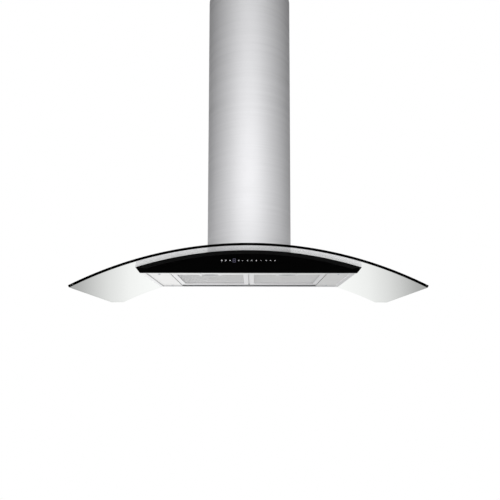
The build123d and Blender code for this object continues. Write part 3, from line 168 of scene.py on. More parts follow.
@dataclass(frozen=True)
class Finish:
    """A surface as it is made.

    Attributes:
        name: the material's name.
        colour: sRGB hex colour.
        roughness: how wide its shine spreads.
        metallic: 1 on bare metal.
        specular: strength of its shine beside that of a plain dielectric.
        shade: how far its tone goes down and up, as a share of itself.
    """

    name: str
    colour: str
    roughness: float
    metallic: float = 0.0
    specular: float = 0.5
    shade: float = 0.0

    def material(self) -> Material:
        """Return this finish's material, made on first use."""
        return bpy.data.materials.get(self.name) or self.make()

    def make(self) -> Material:
        """Make the material: a Principled shader with this finish's pattern on it.

        Returns:
            The new material.
        """
        material = bpy.data.materials.new(self.name)
        material.use_nodes = True
        tree = material.node_tree
        shader = tree.nodes["Principled BSDF"]
        shader.inputs["Base Color"].default_value = linear(self.colour)
        shader.inputs["Roughness"].default_value = self.roughness
        shader.inputs["Metallic"].default_value = self.metallic
        shader.inputs["Specular IOR Level"].default_value = self.specular
        self.dress(tree, shader)
        return material

    def dress(self, tree: NodeTree, shader: Node) -> None:
        """Add the surface's pattern to its shader, as each kind of finish has it."""

    def noise(self, tree: NodeTree, size: Vector, detail: float = 2.0) -> NodeSocket:
        """Add a noise whose features have a real size along each axis.

        Args:
            tree: the material's nodes.
            size: feature size along X, Y and Z, in metres.
            detail: finer layers of the noise.

        Returns:
            The noise's value.
        """
        place = add_node(tree, "ShaderNodeTexCoord")
        scale = tuple(1 / length for length in size)
        fitted = add_node(tree, "ShaderNodeMapping", {"Vector": place.outputs["Object"], "Scale": scale})
        layers = {"Detail": detail, "Roughness": LAYER_SHARE}
        inputs = {"Vector": fitted.outputs["Vector"], "Scale": 1.0, **layers}
        return add_node(tree, "ShaderNodeTexNoise", inputs).outputs["Fac"]

    def tone(self, tree: NodeTree, shader: Node, value: NodeSocket) -> None:
        """Let the base colour vary with a noise, by the finish's shade.

        Args:
            tree: the material's nodes.
            shader: the Principled shader.
            value: the noise.
        """
        gain = add_node(tree, "ShaderNodeMapRange", from_noise(value, 1 - self.shade, 1 + self.shade))
        inputs = {0: linear(self.colour)[:3], "Scale": gain.outputs["Result"]}
        scaled = add_node(tree, "ShaderNodeVectorMath", inputs, operation="SCALE")
        tree.links.new(scaled.outputs["Vector"], shader.inputs["Base Color"])

    def dull(self, tree: NodeTree, shader: Node, value: NodeSocket, low: float, high: float) -> None:
        """Let the roughness vary with a noise.

        Args:
            tree: the material's nodes.
            shader: the Principled shader.
            value: the noise.
            low: roughness where the noise is low.
            high: roughness where the noise is high.
        """
        rough = add_node(tree, "ShaderNodeMapRange", from_noise(value, low, high))
        tree.links.new(rough.outputs["Result"], shader.inputs["Roughness"])

    def emboss(self, tree: NodeTree, shader: Node, value: NodeSocket, height: float) -> None:
        """Raise the surface by a pattern.

        Args:
            tree: the material's nodes.
            shader: the Principled shader.
            value: the pattern.
            height: full height of the pattern, in metres.
        """
        inputs = {"Height": value, "Distance": height, "Strength": 1.0}
        relief = add_node(tree, "ShaderNodeBump", inputs)
        tree.links.new(relief.outputs["Normal"], shader.inputs["Normal"])


@dataclass(frozen=True)
class BrushedMetal(Finish):
    """Sheet metal brushed one way: long fine lines that pull a highlight out across them.

    Attributes:
        metallic: 1, for bare metal.
        shade: how far its tone goes down and up, as a share of itself.
        grain: the way the lines run.
        line: spacing of the lines, in metres. Real ones are about 0.1 mm apart.
        run: length of one line, in metres.
        relief: height of the lines, in metres.
        waves: size of the slow waves of tone along and across the lines, in lines.
        gloss: lowest and highest roughness, as shares of the finish's own.
        pull: strength of the pulled-out highlight.
    """

    metallic: float = 1.0
    shade: float = 0.05
    grain: Grain = Grain.LEVEL
    line: float = 1.1 * MM
    run: float = 90 * MM
    relief: float = 0.004 * MM
    waves: tuple[float, float] = (6, 9)
    gloss: tuple[float, float] = (0.85, 1.2)
    pull: float = 0.0

    def dress(self, tree: NodeTree, shader: Node) -> None:
        """Add brush lines, drawn coarser than real so that they show, and slow waves of tone.

        Args:
            tree: the material's nodes.
            shader: the Principled shader.
        """
        ways = self.grain.value
        along, across = self.waves
        lines = self.noise(tree, Vector(self.run if way else self.line for way in ways), detail=3.0)
        bands = self.noise(tree, Vector(along * self.run if way else across * self.line for way in ways))
        both = add_node(tree, "ShaderNodeMath", {0: lines, 1: bands}, operation="ADD").outputs["Value"]
        half = add_node(tree, "ShaderNodeMath", {0: both, 1: 0.5}, operation="MULTIPLY").outputs["Value"]
        self.tone(tree, shader, half)
        self.dull(tree, shader, half, *(self.roughness * share for share in self.gloss))
        self.emboss(tree, shader, lines, self.relief)
        if self.pull:
            shader.inputs["Anisotropic"].default_value = self.pull
            around = add_node(tree, "ShaderNodeTangent", direction_type="RADIAL", axis="Z")
            tree.links.new(around.outputs["Tangent"], shader.inputs["Tangent"])


@dataclass(frozen=True)
class GalvanisedSheet(Finish):
    """Hot-dipped sheet: flat zinc crystals, each a little lighter or darker than the next.

    Attributes:
        metallic: 1, for bare metal.
        shade: how far its tone goes down and up, as a share of itself.
        spangle: width of a crystal, in metres.
        haze: how far the roughness goes down and up with the oxide on a crystal.
    """

    metallic: float = 1.0
    shade: float = 0.12
    spangle: float = 9 * MM
    haze: tuple[float, float] = (0.06, 0.08)

    def dress(self, tree: NodeTree, shader: Node) -> None:
        """Add the crystals' tones and a light haze of oxide.

        Args:
            tree: the material's nodes.
            shader: the Principled shader.
        """
        place = add_node(tree, "ShaderNodeTexCoord")
        inputs = {"Vector": place.outputs["Object"], "Scale": 1 / self.spangle, "Randomness": 1.0}
        crystals = add_node(tree, "ShaderNodeTexVoronoi", inputs)
        pick = add_node(tree, "ShaderNodeSeparateColor", {"Color": crystals.outputs["Color"]})
        down, up = self.haze
        self.tone(tree, shader, pick.outputs["Red"])
        self.dull(tree, shader, pick.outputs["Green"], self.roughness - down, self.roughness + up)


@dataclass(frozen=True)
class MouldedPlastic(Finish):
    """Moulded plastic or rubber with the fine spark-eroded texture of its mould.

    Attributes:
        shade: how far its tone goes down and up, as a share of itself.
        texture: size of the texture's grains, in metres. Real ones are finer and wouldn't show.
        relief: its depth, in metres.
        cloud: size of the clouds in its tone and shine, in metres.
        haze: how far the roughness goes down and up in the clouds.
    """

    shade: float = 0.06
    texture: float = 0.9 * MM
    relief: float = 0.02 * MM
    cloud: float = 40 * MM
    haze: tuple[float, float] = (0.05, 0.06)

    def dress(self, tree: NodeTree, shader: Node) -> None:
        """Add the mould's texture and a faint cloudiness.

        Args:
            tree: the material's nodes.
            shader: the Principled shader.
        """
        self.emboss(tree, shader, self.noise(tree, Vector((self.texture,) * 3)), self.relief)
        clouds = self.noise(tree, Vector((self.cloud,) * 3))
        down, up = self.haze
        self.dull(tree, shader, clouds, self.roughness - down, self.roughness + up)
        self.tone(tree, shader, clouds)


@dataclass(frozen=True)
class PowderCoat(MouldedPlastic):
    """Paint powder baked on steel: as cloudy as a moulding, under a coarser orange peel.

    Attributes:
        texture: size of the orange peel, in metres.
        relief: its depth, in metres.
    """

    texture: float = 1.6 * MM
    relief: float = 0.05 * MM


@dataclass(frozen=True)
class CloudyFinish(Finish):
    """Soft clouds of tone and shine with no direction, as on drawn or plated metal and baked print.

    Attributes:
        shade: how far its tone goes down and up, as a share of itself.
        cloud: size of the clouds, in metres.
        gloss: lowest and highest roughness, as shares of the finish's own.
        tooth: size of the surface's tooth, in metres. A real one is finer and wouldn't show.
        relief: height of the tooth, in metres.
    """

    shade: float = 0.07
    cloud: float = 12 * MM
    gloss: tuple[float, float] = (0.8, 1.25)
    tooth: float = 0.8 * MM
    relief: float = 0.006 * MM

    def dress(self, tree: NodeTree, shader: Node) -> None:
        """Add clouds of tone and shine, and a fine tooth.

        Args:
            tree: the material's nodes.
            shader: the Principled shader.
        """
        clouds = self.noise(tree, Vector((self.cloud,) * 3), detail=4.0)
        self.tone(tree, shader, clouds)
        self.dull(tree, shader, clouds, *(self.roughness * share for share in self.gloss))
        self.emboss(tree, shader, self.noise(tree, Vector((self.tooth,) * 3)), self.relief)


@dataclass(frozen=True)
class PolishedGlass(Finish):
    """Float glass printed on its back: a flat deep gloss, with only a faint film from wiping.

    Attributes:
        wipe: size of the film's patches along X, Y and Z, in metres.
        gloss: lowest and highest roughness, as shares of the finish's own.
    """

    wipe: tuple[float, float, float] = (70 * MM, 70 * MM, 70 * MM / 3)
    gloss: tuple[float, float] = (0.6, 1.6)

    def dress(self, tree: NodeTree, shader: Node) -> None:
        """Add the film to the shine.

        Args:
            tree: the material's nodes.
            shader: the Principled shader.
        """
        film = self.noise(tree, Vector(self.wipe), detail=3.0)
        self.dull(tree, shader, film, *(self.roughness * share for share in self.gloss))


@dataclass(frozen=True)
class CircuitBoard(Finish):
    """Solder-masked board: copper traces show as slightly lighter stripes under the mask.

    Attributes:
        shade: how far its tone goes down and up, as a share of itself.
        trace: spacing of the traces, in metres.
        stray: how far the traces leave a square grid, from 0 to 1.
    """

    shade: float = 0.3
    trace: float = 2.4 * MM
    stray: float = 0.35

    def dress(self, tree: NodeTree, shader: Node) -> None:
        """Add the traces.

        Args:
            tree: the material's nodes.
            shader: the Principled shader.
        """
        place = add_node(tree, "ShaderNodeTexCoord")
        inputs = {"Vector": place.outputs["Object"], "Scale": 1 / self.trace, "Randomness": self.stray}
        traces = add_node(tree, "ShaderNodeTexVoronoi", inputs, distance="MANHATTAN", feature="F1")
        self.tone(tree, shader, traces.outputs["Distance"])


@dataclass(frozen=True)
class ClearGlass(Finish):
    """Toughened float glass: what is behind shows through, greyed towards the two tips by painted shade.

    Attributes:
        most: the most that one face mirrors, at a grazing view.
        reach: half width of the canopy.
        fan: how fast the shades spread out towards the wall, by metre.
        front: the canopy's front edge.
        painted_tip_shade: share of the light that one face lets through, by share of the reach; painted shade
            that greys the tips.
    """

    most: float = 0.05
    reach: float = GLASS_BOX[1].x
    fan: float = 0.78
    front: float = GLASS_BOX[0].y
    painted_tip_shade: Stops = (
        (0.0, 0.985), (0.48, 0.98), (0.6, 0.955), (0.66, 0.935),
        (0.77, 0.852), (0.84, 0.777), (0.93, 0.658), (1.0, 0.588),
    )

    def dress(self, tree: NodeTree, shader: Node) -> None:
        """Mix a clear pane, greyed by painted shade towards the tips, with a mirror by the angle of view, in
        place of the plain shader.

        Args:
            tree: the material's nodes.
            shader: the Principled shader.
        """
        tree.nodes.remove(shader)
        place = add_node(tree, "ShaderNodeTexCoord")
        along = add_node(tree, "ShaderNodeSeparateXYZ", {"Vector": place.outputs["Object"]})
        out = add_node(tree, "ShaderNodeMath", {0: along.outputs["X"]}, operation="ABSOLUTE")
        widen = {0: along.outputs["Y"], 1: self.fan * self.reach, 2: self.reach * (1 - self.fan * self.front)}
        width = add_node(tree, "ShaderNodeMath", widen, operation="MULTIPLY_ADD")
        parts = {0: out.outputs["Value"], 1: width.outputs["Value"]}
        share = add_node(tree, "ShaderNodeMath", parts, operation="DIVIDE")
        # Painted shade: the pane greys as it reaches out towards the tips
        grade = add_node(tree, "ShaderNodeValToRGB", {"Fac": share.outputs["Value"]}, stops=self.painted_tip_shade)
        body = {0: grade.outputs["Color"], 1: linear(self.colour)[:3]}
        shaded_pane = add_node(tree, "ShaderNodeVectorMath", body, operation="MULTIPLY").outputs["Vector"]
        slant = add_node(tree, "ShaderNodeFresnel", {"IOR": GLASS_IOR})
        sheen = add_node(tree, "ShaderNodeMath", {0: slant.outputs["Fac"], 1: self.most}, operation="MINIMUM")
        pane = add_node(tree, "ShaderNodeBsdfTransparent", {"Color": shaded_pane})
        mirror = add_node(tree, "ShaderNodeBsdfGlossy", {"Color": (1, 1, 1, 1), "Roughness": self.roughness})
        inputs = {0: sheen.outputs["Value"], 1: pane.outputs["BSDF"], 2: mirror.outputs["BSDF"]}
        mixed = add_node(tree, "ShaderNodeMixShader", inputs)
        tree.links.new(mixed.outputs["Shader"], tree.nodes["Material Output"].inputs["Surface"])


@dataclass(frozen=True)
class DotBand(Finish):
    """Grey dots on clear glass: what is behind shows softly between them.

    Attributes:
        pitch: spacing of the dots, in metres.
        dot: radius of a dot, as a share of the pitch.
        soft: how far its edge fades on either side, as a share of the pitch.
    """

    pitch: float = 1.6 * MM
    dot: float = 0.465
    soft: float = 0.08

    def dress(self, tree: NodeTree, shader: Node) -> None:
        """Leave the glass clear between the dots, which lie on a square grid seen from above.

        Args:
            tree: the material's nodes.
            shader: the Principled shader.
        """
        place = add_node(tree, "ShaderNodeTexCoord")
        scale = (1 / self.pitch, 1 / self.pitch, 0)
        flat = add_node(tree, "ShaderNodeMapping", {"Vector": place.outputs["Object"], "Scale": scale})
        inputs = {"Vector": flat.outputs["Vector"], "Scale": 1.0, "Randomness": 0.0}
        dots = add_node(tree, "ShaderNodeTexVoronoi", inputs)
        fade = {"From Min": self.dot - self.soft, "From Max": self.dot + self.soft}
        inputs = {"Value": dots.outputs["Distance"], **fade, "To Min": 1.0, "To Max": 0.0}
        cover = add_node(tree, "ShaderNodeMapRange", inputs)
        tree.links.new(cover.outputs["Result"], shader.inputs["Alpha"])


@dataclass(frozen=True)
class GlowPaintedMark(Finish):
    """Ceramic print or display given a painted glow: light of its own that stands in for the light falling on
    it.

    Attributes:
        glow: strength of its painted glow.
        dim: strength of its darker patches, as a share of the glow.
        patch: size of a patch, in metres.
    """

    glow: float = 0.6
    dim: float = 0.8
    patch: float = 3 * MM

    def dress(self, tree: NodeTree, shader: Node) -> None:
        """Add the painted glow, uneven in patches.

        Args:
            tree: the material's nodes.
            shader: the Principled shader.
        """
        # Painted glow: emission that stands in for light on the print and display
        shader.inputs["Emission Color"].default_value = linear(self.colour)
        patches = from_noise(self.noise(tree, Vector((self.patch,) * 3)), self.glow * self.dim, self.glow)
        light = add_node(tree, "ShaderNodeMapRange", patches)
        tree.links.new(light.outputs["Result"], shader.inputs["Emission Strength"])


@dataclass(frozen=True)
class LitFloor(Finish):
    """Studio floor that is lit all over, so that it throws soft light up at the hood.

    Attributes:
        glow: strength of its light.
    """

    glow: float = 0.55

    def dress(self, tree: NodeTree, shader: Node) -> None:
        """Add the even white glow."""
        shader.inputs["Emission Color"].default_value = linear("FFFFFF")
        shader.inputs["Emission Strength"].default_value = self.glow


# Finishes, each named for the real material and how it is made, and for any light or shade painted into it,
# under a line on what that gives the eye

# Brushed level round the tube: a satin grey with the light drawn out into soft upright streaks
CHIMNEY_STEEL = BrushedMetal("stainless_304_brushed_chimney", "D8D8DA", roughness=0.34, pull=0.5)
# Brushed from side to side: a calm satin sheen with faint level lines
CASING_STEEL = BrushedMetal("stainless_304_brushed_casing", "DADADB", roughness=0.30, grain=Grain.ALONG_X)
# Brushed the same way, and a little paler as painted light for the brightly lit underside: broad soft
# reflections of the floor
PANEL_STEEL_PAINTED_LIGHT = BrushedMetal("stainless_304_brushed_panel_painted_light", "DDDDDC", roughness=0.32, grain=Grain.ALONG_X)
# Dipped zinc: a patchwork of dull crystals, each lighter or darker than the next
ZINC_SHEET = GalvanisedSheet("steel_hot_dip_galvanised", "A9ADB0", roughness=0.42)
# Clear sheet: it nearly vanishes in the middle, and painted shade greys it towards the tips
CANOPY_GLASS = ClearGlass("float_glass_toughened_clear", "FEFFFE", roughness=0.0)
# Printed edge: a thin dead-black line that takes no highlight
EDGE_BLACK = CloudyFinish("float_glass_edge_printed_black", "020202", roughness=0.5, specular=0.0)
# Grey dots: a soft milky grey that still lets shapes through
BAND_GREY = DotBand("float_glass_grey_dots", "DADADC", roughness=0.5, specular=0.2)
# Black behind glass: very deep, under a sharp faint mirror
FASCIA_GLASS = PolishedGlass("float_glass_back_printed_black", "030303", roughness=0.04, specular=0.14)
# Print with a painted glow: small crisp marks that glow faintly
MARK_WHITE = GlowPaintedMark("ceramic_print_white_painted_glow", "E6E8EC", roughness=0.5, glow=0.45)
# Display at rest with a painted glow: a dim violet outline on the black
DISPLAY_BLUE = GlowPaintedMark("vacuum_display_violet_painted_glow", "46435C", roughness=0.3, glow=0.15)
# Moulded black: satin, with a fine even grain
BLACK_PP = MouldedPlastic("polypropylene_moulded_black", "1B1B1D", roughness=0.45)
# Moulded grey: satin and slightly cloudy
GREY_ABS = MouldedPlastic("abs_moulded_grey", "8A8C8E", roughness=0.42)
# The same plastic, pale: it hardly stands out from the metal round it
PALE_ABS = MouldedPlastic("abs_moulded_pale_grey", "C6C7C8", roughness=0.42)
# Moulded nylon: a warm off-white with a waxy sheen
WHITE_NYLON = MouldedPlastic("nylon_moulded_white", "DAD9D2", roughness=0.4)
# Frosted lens: milky white that hides the board behind it
FROSTED_LENS = MouldedPlastic("polycarbonate_frosted", "F1F1EC", roughness=0.35, texture=0.5 * MM)
# Potted module: near black and smooth
DISPLAY_BODY = MouldedPlastic("display_module_potted", "101218", roughness=0.3)
# Solder mask: glossy dark green with lighter traces under it
SOLDER_MASK = CircuitBoard("fibreglass_solder_masked_green", "14522E", roughness=0.35)
# Layers of expanded foil: bright metal broken up into fine soft glints
FILTER_MESH = CloudyFinish("aluminium_expanded_layers", "E2E2E2", roughness=0.5, metallic=1.0, cloud=5 * MM)
# Brushed, then anodised: silvery, with a soft straight sheen
FILTER_FRAME = BrushedMetal("aluminium_anodised_frame", "E2E2E3", roughness=0.36, grain=Grain.ALONG_Y)
# Powder coat: dull and even, with a slight orange peel
MOTOR_PAINT = PowderCoat("steel_powder_coated_grey", "35383B", roughness=0.5)
# Mid grey on the filter ledge: painted shade for the dark gap behind the filters
LEDGE_PAINTED_SHADE = PowderCoat("steel_mid_grey_painted_shade", "707376", roughness=0.5)
# Moulded rubber: flat black that spreads any light it takes
RUBBER = MouldedPlastic("epdm_rubber_moulded", "0F0F10", roughness=0.7)
# Zinc plate: small bright heads with a cool cloudy shine
ZINC_PLATE = CloudyFinish("steel_zinc_plated", "C4C7CC", roughness=0.28, metallic=1.0, cloud=3 * MM)
# Matt white floor: no pattern to catch the eye or show in a reflection
FLOOR_WHITE = LitFloor("matt_white_floor", "F4F4F4", roughness=0.9)

SLOT_FINISH = {
    "brushed_steel": CASING_STEEL,
    "galvanised_sheet": ZINC_SHEET,
    "canopy_glass": CANOPY_GLASS,
    "black_glass": FASCIA_GLASS,
    "black_plastic": BLACK_PP,
    "grey_plastic": GREY_ABS,
    "white_plastic": WHITE_NYLON,
    "lamp_lens": FROSTED_LENS,
    "display_window": DISPLAY_BODY,
    "circuit_board": SOLDER_MASK,
    "aluminium_mesh": FILTER_MESH,
    "aluminium_sheet": FILTER_FRAME,
    "motor_steel": MOTOR_PAINT,
    "rubber": RUBBER,
    "screw_steel": ZINC_PLATE,
}
NODE_FINISH = {
    "lower_cover": CHIMNEY_STEEL,
    "upper_cover": CHIMNEY_STEEL,
    "underside_panel": PANEL_STEEL_PAINTED_LIGHT,
    "filter_rail": PANEL_STEEL_PAINTED_LIGHT,
    "filter_ledge": LEDGE_PAINTED_SHADE,
    "filter_latch_left": PALE_ABS,
    "filter_latch_right": PALE_ABS,
}


class Bench:
    """Modelling steps, each done with Blender's own operators."""

    @staticmethod
    def pick(*pieces: Object) -> None:
        """Select these pieces and no others, and make the first one active.

        Args:
            *pieces: the pieces, or none to deselect everything.
        """
        bpy.ops.object.select_all(action="DESELECT")
        for piece in pieces:
            piece.select_set(True)
        if pieces:
            bpy.context.view_layer.objects.active = pieces[0]

    @staticmethod
    def primitive(kind: str, name: str, **settings: object) -> Object:
        """Add a primitive at its size and place, with its object left at the origin.

        Args:
            kind: cube, cylinder, grid or another primitive.
            name: the new piece's name.
            **settings: the primitive's own settings.

        Returns:
            The new piece.
        """
        Bench.pick()
        getattr(bpy.ops.mesh, f"primitive_{kind}_add")(**settings)
        piece = bpy.context.object
        piece.name = name
        piece.data.name = name
        bpy.ops.object.transform_apply(location=True, rotation=True, scale=True)
        return piece

    @staticmethod
    def block(name: str, low: Vector, high: Vector) -> Object:
        """Add a box between two corners."""
        return Bench.primitive("cube", name, size=1, location=(low + high) / 2, scale=high - low)

    @staticmethod
    @contextmanager
    def editing(piece: Object) -> Iterator[None]:
        """Hold one piece in edit mode, with nothing selected.

        Args:
            piece: the piece to shape.
        """
        Bench.pick(piece)
        bpy.ops.object.mode_set(mode="EDIT")
        bpy.ops.mesh.select_all(action="DESELECT")
        yield
        bpy.ops.object.mode_set(mode="OBJECT")

    @staticmethod
    def pick_faces(piece: Object, wanted: Callable[[Vector, Vector], bool]) -> None:
        """Select faces by their middle and normal.

        Args:
            piece: the piece in edit mode.
            wanted: says whether a face is taken, from its middle and its normal.
        """
        bpy.ops.mesh.select_mode(type="FACE")
        mesh = bmesh.from_edit_mesh(piece.data)
        for face in mesh.faces:
            face.select_set(wanted(face.calc_center_median(), face.normal))
        bmesh.update_edit_mesh(piece.data)

    @staticmethod
    def pick_edges(piece: Object, wanted: Callable[[Vector, Vector], bool]) -> None:
        """Select edges by their two ends.

        Args:
            piece: the piece in edit mode.
            wanted: says whether an edge is taken, from the places of its ends.
        """
        bpy.ops.mesh.select_mode(type="EDGE")
        mesh = bmesh.from_edit_mesh(piece.data)
        for edge in mesh.edges:
            edge.select_set(wanted(edge.verts[0].co, edge.verts[1].co))
        bmesh.update_edit_mesh(piece.data)

    @staticmethod
    def bisect(place: Place, normal: Place, drop: bool = False) -> None:
        """Draw edges round the piece in edit mode where a plane crosses it.

        Args:
            place: a point on the plane.
            normal: the plane's normal.
            drop: whether what lies beyond the plane is cut off.
        """
        bpy.ops.mesh.select_all(action="SELECT")
        bpy.ops.mesh.bisect(plane_co=place, plane_no=normal, clear_outer=drop, clear_inner=False)

    @staticmethod
    def score(piece: Object, planes: list[tuple[Vector, Vector]]) -> None:
        """Draw edges on a piece where planes cross it.

        Args:
            piece: the piece.
            planes: a point and a normal for each plane.
        """
        with Bench.editing(piece):
            for place, normal in planes:
                Bench.bisect(place, normal)

    @staticmethod
    def modify(piece: Object, kind: str, **settings: object) -> None:
        """Add a modifier and apply it.

        Args:
            piece: the piece that takes it.
            kind: the modifier's type.
            **settings: the modifier's own settings.
        """
        Bench.pick(piece)
        modifier = piece.modifiers.new(kind.lower(), kind)
        for key, value in settings.items():
            setattr(modifier, key, value)
        bpy.ops.object.modifier_apply(modifier=modifier.name)

    @staticmethod
    def break_edges(piece: Object, width: float, sharp: float, segments: int = 2) -> None:
        """Take the sharpness off a piece's edges.

        Args:
            piece: the piece.
            width: width of the broken edge.
            sharp: edges sharper than this are broken, in degrees.
            segments: steps across the broken edge.
        """
        limit = math.radians(sharp)
        Bench.modify(
            piece, "BEVEL", width=width, segments=segments, limit_method="ANGLE", angle_limit=limit
        )

    @staticmethod
    def cut(piece: Object, tool: Object, operation: str = "DIFFERENCE") -> None:
        """Cut, join or cross a piece with another, which is used up.

        Args:
            piece: the piece that stays.
            tool: the piece that is used up.
            operation: the boolean's name.
        """
        Bench.modify(piece, "BOOLEAN", object=tool, operation=operation, solver="EXACT")
        bpy.data.objects.remove(tool, do_unlink=True)

    @staticmethod
    def join(pieces: list[Object], name: str) -> Object:
        """Join pieces into the first of them.

        Args:
            pieces: the pieces.
            name: the joined piece's name.

        Returns:
            The joined piece.
        """
        Bench.pick(*pieces)
        bpy.ops.object.join()
        pieces[0].name = name
        return pieces[0]

    @staticmethod
    def smooth(piece: Object) -> None:
        """Shade a piece smooth up to its sharp edges, with its large faces kept flat.

        Args:
            piece: the piece.
        """
        Bench.pick(piece)
        bpy.ops.object.shade_smooth_by_angle(angle=SMOOTH_ANGLE)
        Bench.modify(piece, "WEIGHTED_NORMAL", mode="FACE_AREA", keep_sharp=True)

    @staticmethod
    def stadium(name: str, half: float, low: float, high: float, back: float, sides: int = 192) -> Object:
        """Add an upright D-shaped plug about the chimney's round front.

        Args:
            name: the plug's name.
            half: its half width and the radius of its front.
            low: its lowest level.
            high: its highest level.
            back: how far its rear half is drawn back.
            sides: flat faces round its two ends.

        Returns:
            The plug, whose far end is round too.
        """
        middle = (0, ROUND_Y, (low + high) / 2)
        size = {"vertices": sides, "radius": half, "depth": high - low}
        plug = Bench.primitive("cylinder", name, location=middle, **size)
        with Bench.editing(plug):
            mesh = bmesh.from_edit_mesh(plug.data)
            bpy.ops.mesh.select_mode(type="VERT")
            for vertex in mesh.verts:
                vertex.select_set(vertex.co.y > ROUND_Y + NEAR)
            bmesh.update_edit_mesh(plug.data)
            bpy.ops.transform.translate(value=(0, back, 0))
        return plug

    @staticmethod
    def bend(name: str, radius: float, sides: int = 1256, length: float = 1.6) -> Object:
        """Add a long fine cylinder about the axis of the glass's bend.

        Args:
            name: the cylinder's name.
            radius: its radius.
            sides: its flat faces.
            length: its length, well past the glass's depth.

        Returns:
            The cylinder.
        """
        turned = (math.pi / 2, 0, 0)
        middle = (0, (GLASS_BOX[0].y + GLASS_BOX[1].y) / 2, BEND_Z)
        size = {"vertices": sides, "radius": radius, "depth": length}
        return Bench.primitive("cylinder", name, location=middle, rotation=turned, **size)


def place_piece(
    piece: Object, body: str, finishes: list[Finish], nodes: tuple[str, ...] = ()
) -> Object:
    """Dress a modelled piece, fix it to its body and report it.

    Args:
        piece: the finished mesh.
        body: the body that it rides on.
        finishes: one finish for each of the mesh's material slots.
        nodes: the CAD nodes that it stands for.

    Returns:
        The piece.
    """
    piece.data.materials.clear()
    for finish in finishes:
        piece.data.materials.append(finish.material())
    Bench.smooth(piece)
    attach(piece, body)
    if nodes:
        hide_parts(*nodes)
    LOG.info("%s: %d faces on body %s", piece.name, len(piece.data.polygons), body)
    return piece


